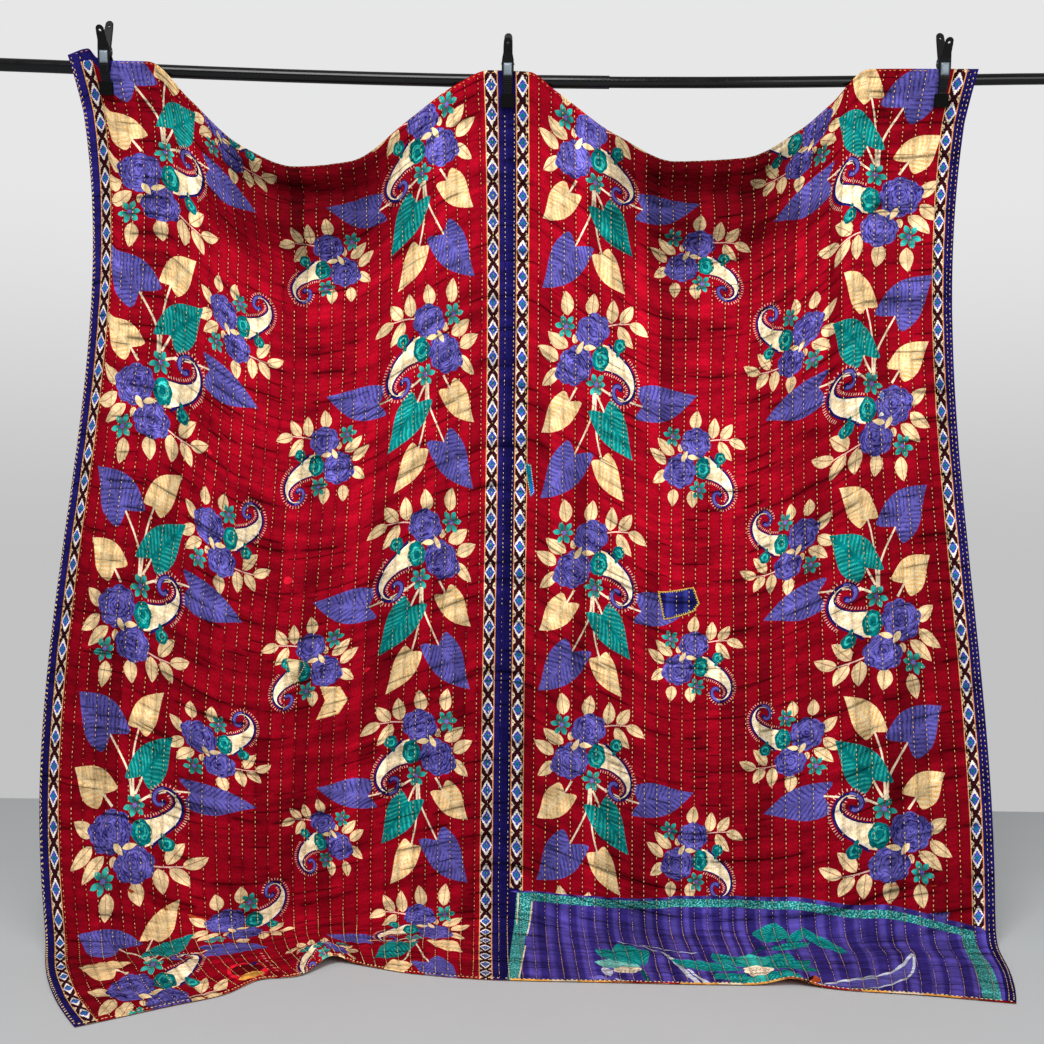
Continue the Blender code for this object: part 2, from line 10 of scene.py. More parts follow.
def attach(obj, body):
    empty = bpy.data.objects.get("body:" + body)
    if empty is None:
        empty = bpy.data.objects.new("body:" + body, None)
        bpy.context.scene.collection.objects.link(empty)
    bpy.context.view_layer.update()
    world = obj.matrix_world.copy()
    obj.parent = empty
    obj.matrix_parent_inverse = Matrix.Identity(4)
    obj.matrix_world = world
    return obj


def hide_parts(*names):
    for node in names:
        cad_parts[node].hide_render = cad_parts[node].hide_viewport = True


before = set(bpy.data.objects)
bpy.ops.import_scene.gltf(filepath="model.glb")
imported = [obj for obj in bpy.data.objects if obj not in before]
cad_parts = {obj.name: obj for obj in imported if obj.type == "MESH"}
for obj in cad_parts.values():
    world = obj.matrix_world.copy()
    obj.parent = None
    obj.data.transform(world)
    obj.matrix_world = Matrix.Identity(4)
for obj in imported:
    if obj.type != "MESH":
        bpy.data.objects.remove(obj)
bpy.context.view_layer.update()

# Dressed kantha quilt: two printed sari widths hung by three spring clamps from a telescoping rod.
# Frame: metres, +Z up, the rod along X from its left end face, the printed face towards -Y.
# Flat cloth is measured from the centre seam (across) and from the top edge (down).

bl_info = {
    "name": "Hung kantha quilt",
    "version": (1, 0, 0),
    "blender": (4, 5, 0),
    "location": "3D View > Sidebar > Kantha quilt",
    "description": "A stitched quilt of two printed sari widths, its clamps, its rod and a plain stage",
    "category": "Add Mesh",
}

# ---- the hang of the cloth, as in the solids -----------------------------------------
ROD_LENGTH = 2.64
MIDDLE = ROD_LENGTH / 2
FLOOR_Z = -1.984
ROD_SAG = 0.025
SAG_POWER = 1.35
QUILT_WIDTH = 1.180
QUILT_LENGTH = 2.480
QUILT_THICKNESS = 0.0025
STITCH_ROWS = 37
STITCH_RELIEF = 0.0011
ROW_START = {-1: 0.006, 1: 0.017}
CLAMP_TILT = math.radians(15)
PAD_FORWARD = 0.008
PAD_BELOW = 0.044
PINCH_REACH = 0.100
BEND_RADIUS = 0.028
CLAMP_PLACES = {"left": -0.980, "centre": -0.047, "right": 0.962}
CLAMP_SEAT = 0.0019
STEP_X = 0.190

# The top edge: share of a width across, place along the rod from its middle, height.
TOP_EDGE = np.array([
    (-1.000, -1.067, 0.014), (-0.958, -1.019, 0.028), (-0.936, -0.998, 0.008),
    (-0.900, -0.960, 0.003), (-0.835, -0.883, 0.002), (-0.728, -0.789, -0.078), (-0.594, -0.671, -0.182),
    (-0.475, -0.541, -0.232), (-0.364, -0.413, -0.218), (-0.215, -0.274, -0.114),
    (-0.096, -0.159, -0.035), (-0.036, -0.090, -0.008), (0.046, 0.001, -0.010),
    (0.103, 0.062, -0.048), (0.254, 0.217, -0.151), (0.371, 0.346, -0.208),
    (0.505, 0.510, -0.197), (0.625, 0.637, -0.129), (0.700, 0.707, -0.070),
    (0.794, 0.792, 0.006), (1.000, 1.044, 0.010),
])
# How each stretch falls: share across; place at half height, at the floor and at the hem;
# how far forward it meets the floor and how far forward the hem lies; cloth above the floor.
FALL = np.array([
    (-1.00, -1.051, -1.013, -0.800, 0.226, 0.668, 2.030),
    (-0.81, -0.878, -0.850, -0.655, 0.190, 0.562, 2.005),
    (-0.70, -0.775, -0.760, -0.568, 0.160, 0.500, 1.970),
    (-0.59, -0.660, -0.655, -0.512, 0.120, 0.415, 1.935),
    (-0.50, -0.565, -0.565, -0.445, 0.090, 0.395, 1.930),
    (-0.37, -0.430, -0.440, -0.367, 0.060, 0.315, 1.950),
    (-0.19, -0.228, -0.235, -0.209, 0.050, 0.370, 2.010),
    (0.00, -0.039, -0.036, -0.028, 0.050, 0.400, 2.040),
    (0.19, 0.165, 0.165, 0.172, 0.050, 0.405, 1.970),
    (0.40, 0.385, 0.385, 0.385, 0.060, 0.410, 1.910),
    (0.57, 0.565, 0.570, 0.553, 0.070, 0.410, 1.920),
    (0.70, 0.705, 0.720, 0.680, 0.090, 0.435, 1.950),
    (0.81, 0.831, 0.855, 0.790, 0.110, 0.450, 2.000),
    (1.00, 1.030, 1.062, 0.979, 0.150, 0.490, 2.050),
])
HALF_HEIGHT_SHARE = 0.53
LEAN_POWER = 3.2
# Swag folds: centre, half-length, distance below the top edge, how much lower the ends
# are, half-width, depth.
SWAG_FOLDS = np.array([
    (-0.45, 0.34, 0.020, 0.010, 0.022, 0.016),
    (-0.43, 0.33, 0.072, 0.050, 0.024, -0.018),
    (-0.46, 0.38, 0.150, 0.080, 0.045, 0.022),
    (-0.50, 0.30, 0.265, 0.100, 0.035, -0.015),
    (-0.42, 0.36, 0.400, 0.120, 0.080, 0.014),
    (0.43, 0.34, 0.020, 0.010, 0.022, 0.016),
    (0.40, 0.31, 0.075, 0.060, 0.024, -0.016),
    (0.45, 0.36, 0.150, 0.090, 0.045, 0.022),
    (0.52, 0.30, 0.240, 0.080, 0.035, -0.014),
    (0.44, 0.36, 0.390, 0.120, 0.080, 0.013),
])
# Folds that run down: share across, drift, middle, half-length, half-width, depth.
DOWN_FOLDS = np.array([
    (-0.88, 0.00, 1.00, 1.10, 0.060, 0.012),
    (-0.72, 0.02, 0.95, 0.80, 0.055, -0.020),
    (-0.55, 0.00, 1.20, 0.90, 0.090, 0.018),
    (-0.33, 0.00, 1.10, 0.95, 0.100, -0.016),
    (-0.12, 0.00, 0.90, 0.90, 0.070, 0.012),
    (0.10, 0.00, 1.20, 0.90, 0.060, 0.010),
    (0.30, 0.00, 1.00, 0.90, 0.100, -0.014),
    (0.52, 0.00, 1.10, 0.95, 0.090, 0.016),
    (0.66, 0.02, 0.75, 0.75, 0.045, -0.022),
    (0.76, 0.01, 0.70, 0.75, 0.040, 0.022),
    (0.90, 0.00, 1.20, 0.90, 0.060, -0.010),
])
# Lumps on the floor: share across, distance down, half-width, half-length, height.
FLOOR_LUMPS = np.array([
    (-0.40, 2.40, 0.055, 0.130, 0.026),
    (-0.78, 2.24, 0.120, 0.070, 0.014),
    (-0.17, 2.26, 0.090, 0.060, 0.012),
    (0.30, 2.25, 0.110, 0.060, 0.010),
    (0.575, 2.44, 0.045, 0.080, 0.018),
    (0.80, 2.20, 0.110, 0.070, 0.012),
])
# Pressed creases across: across, down, half-length, rise per metre, depth, half-width.
CREASES = np.array([
    (-0.420, 1.068, 0.130, 0.10, 0.0026, 0.0045),
    (0.505, 1.073, 0.170, 0.02, 0.0030, 0.0050),
    (0.955, 1.880, 0.230, 0.22, 0.0040, 0.0060),
    (-0.870, 1.908, 0.240, 0.10, 0.0040, 0.0060),
    (0.300, 0.560, 0.110, -0.05, 0.0022, 0.0040),
    (0.620, 0.800, 0.090, 0.08, 0.0020, 0.0040),
    (-0.640, 0.900, 0.100, -0.06, 0.0022, 0.0040),
    (-0.300, 1.520, 0.120, 0.05, 0.0022, 0.0040),
    (0.420, 1.560, 0.140, -0.04, 0.0024, 0.0040),
    (0.840, 1.240, 0.100, 0.06, 0.0022, 0.0040),
])


def rod_height(across):
    """The rod's axis: minus the sag times (1 - square of the share of its half length) to a power."""
    share = np.clip(np.abs(across) / MIDDLE, 0, 1)
    return -ROD_SAG * (1 - share ** 2) ** SAG_POWER


def read_table(table, column, at):
    """Hermite cubic between a table's rows; each slope is the harmonic mean of its neighbours' rises, or 0
    where they differ in sign."""
    knots, values = table[:, 0], table[:, column]
    step = np.diff(knots)
    rise = np.diff(values) / step
    same_way = rise[:-1] * rise[1:] > 0
    inner = np.where(same_way, 2 * rise[:-1] * rise[1:] / (rise[:-1] + rise[1:] + 1e-12), 0)
    slope = np.concatenate([rise[:1], inner, rise[-1:]])
    place = np.clip(np.searchsorted(knots, at) - 1, 0, len(step) - 1)
    gap = step[place]
    u = np.clip((at - knots[place]) / gap, 0, 1)
    return ((1 + 2 * u) * (1 - u) ** 2 * values[place]
            + u * (1 - u) ** 2 * gap * slope[place]
            + u ** 2 * (3 - 2 * u) * values[place + 1]
            + u ** 2 * (u - 1) * gap * slope[place + 1])


def through_four(at, places, values):
    """The cubic through four places: each value times the product of distances to the other three places,
    over the same product at its own place."""
    total = 0
    for i, value in enumerate(values):
        weight = 1
        for j in range(len(places)):
            if j != i:
                weight = weight * (at - places[j]) / (places[i] - places[j])
        total = total + weight * value
    return total


def pinch_height(across):
    """The rod's height, pulled level across each clamp by a flat-topped bell."""
    height = rod_height(across)
    for place in CLAMP_PLACES.values():
        near = np.exp(-((across - place) / 0.05) ** 6)
        height = height + near * (rod_height(place) - height)
    return height


def clamp_shelter(across, below_rod):
    """Product over the clamps of 1 - exp(-(x/0.055)^4 - (z/0.12)^4): 0 at the pads, 1 away from them."""
    shelter = 1
    for place in CLAMP_PLACES.values():
        reach = ((across - place) / 0.055) ** 4 + (below_rod / 0.12) ** 4
        shelter = shelter * (1 - np.exp(-reach))
    return shelter


def fold_depth(a, down):
    """Sum of bell-shaped ridges: across U-shaped lines in the swags, and along lines that run down."""
    depth = 0
    for centre, half, start, lower, width, height in SWAG_FOLDS:
        away = (a - centre) / half
        line = start + lower * away ** 2
        fade = np.clip(1 - away ** 2, 0, 1) ** 1.5
        depth = depth + height * fade * np.exp(-((down - line) / width) ** 2)
    for centre, drift, middle, half, width, height in DOWN_FOLDS:
        away = (a - centre - drift * (down - middle)) * QUILT_WIDTH
        fade = np.clip(1 - ((down - middle) / half) ** 2, 0, 1)
        depth = depth + height * fade * np.exp(-(away / width) ** 2)
    return depth


def quilt_surface(s, down):
    """Middle of the cloth: x is the cubic through its places at the top, half way, floor and hem; z falls
    in proportion to the hung share; y leans forward by a power of that share, then runs along the floor
    by a soft ramp."""
    a = s / QUILT_WIDTH
    x_top, z_top = read_table(TOP_EDGE, 1, a), read_table(TOP_EDGE, 2, a)
    x_half, x_floor, x_hem, f_floor, f_hem, above = (
        read_table(FALL, column, a) for column in range(1, 7))
    run = BEND_RADIUS * np.logaddexp(0, (down - above) / BEND_RADIUS)
    hung = down - run
    x = through_four(down, (0 * a, HALF_HEIGHT_SHARE * above, above, QUILT_LENGTH + 0 * a),
                     (x_top, x_half, x_floor, x_hem))
    floor_z = FLOOR_Z + QUILT_THICKNESS / 2 + STITCH_RELIEF
    share = hung / above
    z = z_top + (floor_z - z_top) * share
    forward = f_floor * np.clip(share, 0, 1) ** LEAN_POWER
    forward = forward + (f_hem - f_floor) * run / (QUILT_LENGTH - above)
    below_rod = z - pinch_height(x)
    seat = CLAMP_SEAT * np.clip(x / 0.6, 0, 1)
    held = np.maximum(below_rod, -PINCH_REACH) + PAD_BELOW + seat
    fading = np.exp(np.minimum(below_rod + PINCH_REACH, 0) / PINCH_REACH)
    forward = forward + (PAD_FORWARD + math.tan(CLAMP_TILT) * held) * fading
    shelter = clamp_shelter(x, below_rod)
    hanging = np.clip((above - down) / 0.40, 0, 1) ** 1.5
    below_edge = np.clip(-(below_rod + 0.02) / 0.05, 0, 1)
    forward = forward + fold_depth(a, down) * shelter * hanging * below_edge
    for centre, middle, width, length, height in FLOOR_LUMPS:
        near = ((a - centre) / width) ** 2 + ((down - middle) / length) ** 2
        z = z + height * np.exp(-near)
    return np.stack([MIDDLE + x, -forward, z], -1), shelter


def value_noise(x, y, seed):
    """Seeded random heights at whole numbers, joined by quintic steps, from -1 to 1."""
    size = 127
    table = np.random.default_rng(seed).uniform(-1, 1, (size, size))
    i, j = np.floor(x).astype(int), np.floor(y).astype(int)
    u, v = x - i, y - j
    u, v = u ** 3 * (10 - 15 * u + 6 * u * u), v ** 3 * (10 - 15 * v + 6 * v * v)
    i, j, p, q = i % size, j % size, (i + 1) % size, (j + 1) % size
    return ((table[i, j] * (1 - u) + table[p, j] * u) * (1 - v)
            + (table[i, q] * (1 - u) + table[p, q] * u) * v)


def small_relief(s, down, depth):
    """Height of the quilting off the cloth's middle: a rounded channel between each two rows of stitching,
    cockles that pull across the channels, fine pinched wrinkles and pressed creases."""
    phase = (np.abs(s) - np.where(s > 0, ROW_START[1], ROW_START[-1])) * STITCH_ROWS / QUILT_WIDTH
    ridge = np.abs(np.sin(math.pi * phase)) ** 0.8
    height = depth * (ridge - 0.5)
    height = height + 0.0011 * ridge * value_noise(phase * 0.9, down / 0.019, 3)
    height = height + 0.0016 * value_noise(phase / 2.6, down / 0.048, 5)
    line = value_noise(s / 0.19, down / 0.040, 7)
    patchy = np.clip(value_noise(s / 0.23, down / 0.17, 11) * 1.6 + 0.35, 0, 1)
    height = height - 0.0017 * patchy * np.exp(-(line / 0.075) ** 2)
    for across, middle, half, rise, deep, width in CREASES:
        away = (s - across) / half
        wave = 0.004 * value_noise(s / 0.04, down * 0, 13)
        offset = down - middle - rise * (s - across) - wave
        height = height - deep * np.clip(1 - away ** 2, 0, 1) * np.exp(-(offset / width) ** 2)
    return height


def cloth_layer(s, down, off, depth):
    """The cloth's middle, moved along its own normal by the small relief times the clamps' shelter, plus
    off times half the thickness, which rounds to nothing at the outer edges."""
    step = 0.002
    middle, shelter = quilt_surface(s, down)
    held = np.clip(s, step - QUILT_WIDTH, QUILT_WIDTH - step)
    right = quilt_surface(held + step, down)[0] - quilt_surface(held - step, down)[0]
    lower = quilt_surface(held, down + step)[0] - quilt_surface(held, down - step)[0]
    out = np.cross(lower, right)
    out = out / np.linalg.norm(out, axis=-1, keepdims=True)
    rim = np.minimum(np.minimum(QUILT_WIDTH - np.abs(s), down), QUILT_LENGTH - down)
    rounding = np.sqrt(np.clip(1 - (1 - np.clip(rim / 0.0028, 0, 1)) ** 2, 0.02, 1))
    hem = 0.0007 * np.exp(-((rim - 0.005) / 0.004) ** 2)
    lift = small_relief(s, down, depth) * shelter * np.clip(rim / 0.012, 0.25, 1)
    lift = lift + off * (QUILT_THICKNESS / 2 * rounding + hem)
    points = middle + lift[..., None] * out
    points[..., 2] = np.maximum(points[..., 2], FLOOR_Z + (0.0012 if off > 0 else 0.0))
    return points


def layer_normals(s, down, off, depth):
    """Cross product of the layer's slopes down and across, facing the viewer where off is 1."""
    step = 0.0022
    s = np.clip(s, step - QUILT_WIDTH, QUILT_WIDTH - step)
    right = cloth_layer(s + step, down, off, depth) - cloth_layer(s - step, down, off, depth)
    lower = cloth_layer(s, down + step, off, depth) - cloth_layer(s, down - step, off, depth)
    out = np.cross(lower, right) * (1 if off > 0 else -1)
    return out / (np.linalg.norm(out, axis=-1, keepdims=True) + 1e-12)


# ---- the print, charted flat ---------------------------------------------------------
# A print shape is (outline, ink, line ink, kind, origin, way along). A spray is charted in
# its own units, x away from the seam and y down, and placed by its centre.
PLAIN, LEAF, ROSE, HEART, STRIP, OUTER_STRIP, STRIPES, SPECKLE, PETAL, GROUND = range(10)
SPRAY_UNIT = 0.00038
SPRAY_CENTRE = (370, 540)
REPEAT = 0.495
STRIP_PITCH = 0.0650
BAND, LINE, STRIP_WIDTH, OUTER_WIDTH, SELVEDGE = 0.0240, 0.0026, 0.0290, 0.0250, 0.0222
PEACH_LINE = 0.0019
PRINT_MARGIN = 0.05     # how far the print runs past the cloth's edges
SMALL_SPRAY = 0.844
# Columns of sprays: across from the seam, first one down, turned upside down, small.
COLUMNS = ((0.472, 0.3225, False, True), (0.750, 0.0600, True, True),
           (0.197, 0.0750, False, False), (0.962, 0.3225, True, False))

# How the print is pulled out of true. Each bend is a soft dent: its middle across and down, its reach
# across and down, and how far it carries the print outwards and down, all in metres.
BENDS = {
    -1: (
        (0.00, 0.90, 0.20, 1.10, 0.00, 0.12),   # the seam hangs low
        (0.60, 0.50, 0.35, 0.70, 0.00, -0.08),  # the middle sits high
        (0.65, 2.00, 0.30, 0.40, -0.10, -0.12),  # and is drawn in above the hem
        (1.20, 0.40, 0.30, 0.70, 0.09, -0.03),  # the outer side spreads
        (1.20, 2.10, 0.25, 0.50, 0.05, 0.08),
        (0.55, 2.70, 1.00, 0.40, 0.04, 0.25),   # the hem slides down
    ),
    1: (
        (0.00, 0.80, 0.20, 1.10, 0.00, 0.14),
        (0.46, 0.45, 0.25, 0.50, 0.00, -0.08),
        (0.55, 1.80, 0.40, 0.80, 0.00, -0.08),
        (1.15, 0.30, 0.35, 0.60, 0.07, 0.00),
        (1.20, 1.50, 0.25, 0.40, 0.01, 0.05),
        (1.10, 2.50, 0.50, 0.35, 0.04, -0.02),
    ),
}


def pulled(places, side):
    """Flat places moved by the bends: each adds its move times a bell curve about its middle."""
    moved = places.copy()
    for across, down, reach_across, reach_down, out, lower in BENDS[side]:
        bell = np.exp(-((places[:, 0] - across) / reach_across) ** 2
                      - ((places[:, 1] - down) / reach_down) ** 2)
        moved += np.outer(bell, (out, lower))
    return moved


def shape(outline, ink, line="", kind=PLAIN, origin=(0, 0), along=(1, 0)):
    length = math.hypot(*along) or 1
    return (np.asarray(outline, float), ink, line or ink, kind, np.asarray(origin, float),
            np.asarray(along, float) / length)


def oval(across, down, half_width, half_height, lean, count=24):
    """An ellipse about its middle, turned by its lean."""
    angle, lean = np.arange(count) / count * 2 * np.pi, math.radians(lean)
    x, y = half_width * np.cos(angle), half_height * np.sin(angle)
    return np.column_stack([across + x * math.cos(lean) - y * math.sin(lean),
                            down + x * math.sin(lean) + y * math.cos(lean)])


def smooth_line(points, rounds=2):
    """Corner cutting of an open line that keeps its two ends."""
    points = np.asarray(points, float)
    for _ in range(rounds):
        a, b = points[:-1], points[1:]
        cut = np.stack([0.75 * a + 0.25 * b, 0.25 * a + 0.75 * b], 1).reshape(-1, 2)
        points = np.concatenate([points[:1], cut[1:-1], points[-1:]])
    return points


def leaf(base, tip, width, ink="cream", line="sepia", bend=0.0, kind=LEAF, peak=0.8):
    """A pointed oval: half-width is a sine of the share along to the power of peak, to the power 0.85,
    about an axis bent by a parabola."""
    base, tip = np.array(base, float), np.array(tip, float)
    way = tip - base
    aside = np.array([-way[1], way[0]]) / np.linalg.norm(way)
    t = np.linspace(0, 1, 9)
    half = width / 2 * np.sin(math.pi * t ** peak).clip(0) ** 0.85
    bent = bend * np.linalg.norm(way) * 4 * t * (1 - t)
    upper = base + t[:, None] * way + (bent + half)[:, None] * aside
    lower = base + t[:, None] * way + (bent - half)[:, None] * aside
    return shape(np.concatenate([upper, lower[-2:0:-1]]), ink, line, kind, base, way)


def heart(notch, tip, lobe_a, lobe_b, ink, line, bulge):
    """A heart-shaped leaf: each side leaves its chord, from lobe to tip, by its bulge times the chord's
    length times sin(pi t^0.85) + 0.22 sin(2 pi t) on the first side and sin(pi t) on the second; the
    edge from notch to lobe bows back a little."""
    notch, tip = np.array(notch, float), np.array(tip, float)
    sides = []
    for lobe, share, power, skew in ((np.array(lobe_a, float), bulge[0], 0.85, 0.22),
                                     (np.array(lobe_b, float), bulge[1], 1.0, 0.0)):
        chord = tip - lobe
        out = np.array([-chord[1], chord[0]])
        out = out * np.sign(out @ (lobe - notch))
        t = np.array([0.03, 0.10, 0.20, 0.32, 0.44, 0.57, 0.70, 0.85, 1.0])[:, None]
        side = lobe + t * chord + share * (np.sin(math.pi * t ** power)
                                           + skew * np.sin(2 * math.pi * t)) * out
        back = 0.10 * (notch - tip) * np.linalg.norm(lobe - notch) / np.linalg.norm(notch - tip)
        edge = [notch + 0.35 * (lobe - notch) + 0.8 * back, notch + 0.70 * (lobe - notch) + back,
                lobe - 0.04 * (lobe - notch)]
        sides.append(np.concatenate([edge, side]))
    outline = np.concatenate([[notch], sides[0], sides[1][-2::-1]])
    return shape(outline, ink, line, HEART, notch, tip - notch)


def scallop(centre, across, down, petals, depth, turn, count):
    """A ring of petals: radius falls by depth between them as the cosine of half the petal angle."""
    angle = np.arange(count) * 2 * math.pi / count
    radius = 1 - depth * (1 - np.abs(np.cos(petals * (angle - turn) / 2)) ** 0.7)
    return np.stack([centre[0] + across * radius * np.cos(angle),
                     centre[1] + down * radius * np.sin(angle)], -1)


def rose(centre, across, down, ink="violet", line="violet_line", petals=7, turn=0.3):
    """Three rings of petals, one in the other, each turned against the last."""
    rings = [shape(scallop(centre, across, down, petals, 0.12, turn, 6 * petals), ink, line, ROSE, centre,
                   (1, 0.2))]
    for share, count, twist in ((0.66, 5, 1.0), (0.36, 4, 2.1)):
        offset = (centre[0] + 0.06 * across * math.cos(twist), centre[1] + 0.10 * down * math.sin(twist))
        rings.append(shape(scallop(offset, across * share, down * share, count, 0.14, turn + twist,
                                   5 * count),
                           ink + "_light" if share > 0.5 else ink, line, ROSE, offset, (0.3, 1)))
    return rings


def star(centre, radius, turn=0.0):
    """Six pointed petals round a small hub."""
    made = []
    for angle, reach in ((-111, 1.0), (-50, 0.95), (8, 0.82), (68, 1.0), (124, 0.92), (198, 1.0)):
        way = np.array([math.cos(math.radians(angle + turn)), math.sin(math.radians(angle + turn))])
        made.append(leaf(centre + 0.10 * radius * way, centre + reach * radius * way, 0.47 * radius,
                         "teal_light", "teal_dark", kind=PETAL, peak=1.25))
    return made + [shape(scallop(centre, 0.19 * radius, 0.19 * radius, 6, 0.1, 0, 10), "violet_light")]


def ribbon(points, widths, ink, rounds=2):
    """A strip along a smoothed line, of a width that changes evenly from first to last."""
    line = smooth_line(points, rounds)
    slope = np.gradient(line, axis=0)
    aside = np.stack([-slope[:, 1], slope[:, 0]], -1)
    aside = aside / (np.linalg.norm(aside, axis=1, keepdims=True) + 1e-9)
    half = np.linspace(widths[0], widths[1], len(line))[:, None] / 2
    return shape(np.concatenate([line + aside * half, (line - aside * half)[::-1]]), ink)


def ticks(points, gap, length, width, ink, offset):
    """Small oblongs set square to a smoothed line, an even gap apart, offset to one side."""
    line = smooth_line(points, 2)
    run = np.concatenate([[0], np.cumsum(np.linalg.norm(np.diff(line, axis=0), axis=1))])
    at = np.arange(gap / 2, run[-1], gap)
    middle = np.stack([np.interp(at, run, line[:, 0]), np.interp(at, run, line[:, 1])], -1)
    slope = np.stack([np.interp(at + 1, run, line[:, k]) - np.interp(at - 1, run, line[:, k])
                      for k in (0, 1)], -1)
    slope = slope / (np.linalg.norm(slope, axis=1, keepdims=True) + 1e-9)
    aside = np.stack([-slope[:, 1], slope[:, 0]], -1)
    middle = middle + offset * aside
    made = []
    for m, s, a in zip(middle, slope, aside):
        made.append(shape([m - s * width / 2 - a * length / 2, m + s * width / 2 - a * length / 2,
                           m + s * width * 0.3 + a * length / 2, m - s * width * 0.3 + a * length / 2],
                          ink))
    return made


HORN_OUTER = [(549, 518), (585, 545), (624, 583), (658, 612), (692, 650), (716, 693), (731, 741),
              (731, 785), (716, 828),
              (692, 857), (658, 876), (624, 874)]
HORN_INNER = [(512, 667), (551, 677), (595, 693), (634, 717), (668, 746), (690, 780), (692, 812),
              (675, 840), (650, 856)]
CURL = [(640, 876), (600, 858), (580, 828), (575, 794), (588, 770), (612, 764), (630, 780), (624, 800)]


def spray_top(small):
    """What every spray has: cream leaves, two roses, a teal rose and bud, two stars and a curled horn edged
    with ticks."""
    made = [ribbon([(540, 388), (590, 380), (620, 378), (660, 378), (700, 376)], (9, 7), "pink"),
            ribbon([(622, 378), (628, 360), (640, 348)], (7, 6), "pink")]
    if not small:
        made.append(leaf((262, 288), (243, 133), 86, bend=0.03))
    for base, tip, width, bend in (
            ((424, 312), (443, 170), 92, -0.03),
            ((560, 374), (577, 220), 84, 0.02), ((625, 368), (712, 258), 78, 0.05),
            ((688, 376), (820, 440), 74, -0.05), ((612, 392), (714, 528), 78, 0.05),
            ((262, 486), (128, 370), 82, -0.04), ((196, 556), (64, 456), 82, 0.04),
            ((194, 600), (92, 704), 80, -0.06)):
        made.append(leaf(base, tip, width, bend=bend))
    made += [leaf((318, 470), (300, 410), 40),
             ribbon([(540, 500), (575, 530), (610, 580)], (12, 9), "navy", 1)]
    made += ticks(HORN_OUTER[3:] + CURL[1:4], 16.5, 17, 6, "pink", -24)
    made += ticks(HORN_INNER[:8], 18, 14, 6, "pink", 19)
    edge, inner = smooth_line(HORN_OUTER[:11], 2), smooth_line(HORN_INNER, 2)
    made.append(shape(np.concatenate([[(500, 500)], edge, inner[::-1]]), "horn_cream", "cream", ROSE,
                      (520, 600), (0.6, 1)))
    made.append(ribbon(np.array(HORN_OUTER[:10]) + (-11, 7), (7, 6), "white"))
    made.append(ribbon(np.array(HORN_INNER[2:8]) + (5, -11), (4, 6), "white"))
    made.append(ribbon(HORN_OUTER, (11, 20), "navy"))
    made.append(ribbon(HORN_INNER, (9, 13), "navy"))
    made.append(ribbon(CURL, (34, 33), "navy"))
    made.append(ribbon(CURL[:-1], (19, 20), "violet"))
    made.append(ribbon([(655, 862), (628, 862), (608, 850)], (7, 3), "cream"))
    made += rose((432, 405), 122, 112)
    made += rose((312, 606), 128, 128, petals=8, turn=0.0)
    made.append(shape(scallop((203, 640), 30, 36, 4, 0.12, 0, 14), "violet", "violet_line", ROSE,
                      (203, 640)))
    made.append(leaf((322, 538), (368, 462), 38, "cream", "ochre", kind=PLAIN))
    made.append(leaf((368, 502), (455, 518), 38, "cream", "ochre", kind=PLAIN))
    made += rose((488, 588), 62, 84, "teal", "teal_dark", 6)
    made += rose((622, 515), 44, 46, "teal", "teal_dark", 5)
    made.append(leaf((612, 556), (600, 588), 26, "teal", "teal_dark", kind=PLAIN))
    made += star((248, 355), 78)
    if small:
        made += [leaf((262, 735), (252, 862), 86, bend=0.02), leaf((400, 752), (412, 880), 86, bend=-0.02)]
    made += star((458, 748), 76)
    return made


def spray_leaves():
    """The big sprays' stems and heart-shaped leaves."""
    made = [
        ribbon([(440, 800), (436, 905), (412, 985), (310, 1165)], (15, 11), "horn_cream"),
        ribbon([(462, 815), (490, 870), (514, 930)], (14, 11), "horn_cream"),
        ribbon([(452, 800), (455, 1060), (498, 1222)], (13, 10), "horn_cream"),
        ribbon([(490, 775), (560, 825), (670, 862), (790, 880)], (14, 11), "horn_cream"),
        ribbon([(322, 745), (300, 780), (270, 825)], (15, 12), "horn_cream"),
        heart((272, 825), (90, 994), (238, 748), (360, 848), "cream", "ochre", (0.14, 0.21)),
        heart((312, 1165), (88, 1412), (264, 1062), (446, 1180), "violet", "violet_line", (0.12, 0.20)),
        heart((497, 1222), (657, 1487), (545, 1180), (424, 1225), "cream", "ochre", (0.07, 0.16)),
        heart((512, 930), (714, 1222), (560, 852), (400, 905), "teal", "teal_light", (0.10, 0.15)),
        heart((785, 878), (1150, 790), (748, 770), (728, 965), "violet", "violet_line", (0.10, 0.14)),
    ]
    return made


def placed(shapes, side, across, down, scale, turned):
    """A spray moved from its centre to its place on the cloth, turned by half a turn or not, then pulled
    with the cloth."""
    turn = -scale if turned else scale
    centre = np.array(SPRAY_CENTRE, float)
    made = []
    for outline, ink, line, kind, origin, along in shapes:
        points = (np.concatenate([outline, [origin, origin + 10 * along]]) - centre) * turn + (across, down)
        points = pulled(points, side)
        way = points[-1] - points[-2]
        made.append((points[:-2], ink, line, kind, points[-2], way / np.linalg.norm(way)))
    return made


def box_shape(left, right, top, bottom, ink, line="", kind=PLAIN):
    middle = ((left + right) / 2, 0)
    return shape([(left, top), (right, top), (right, bottom), (left, bottom)], ink, line, kind, middle,
                 (1, 0))


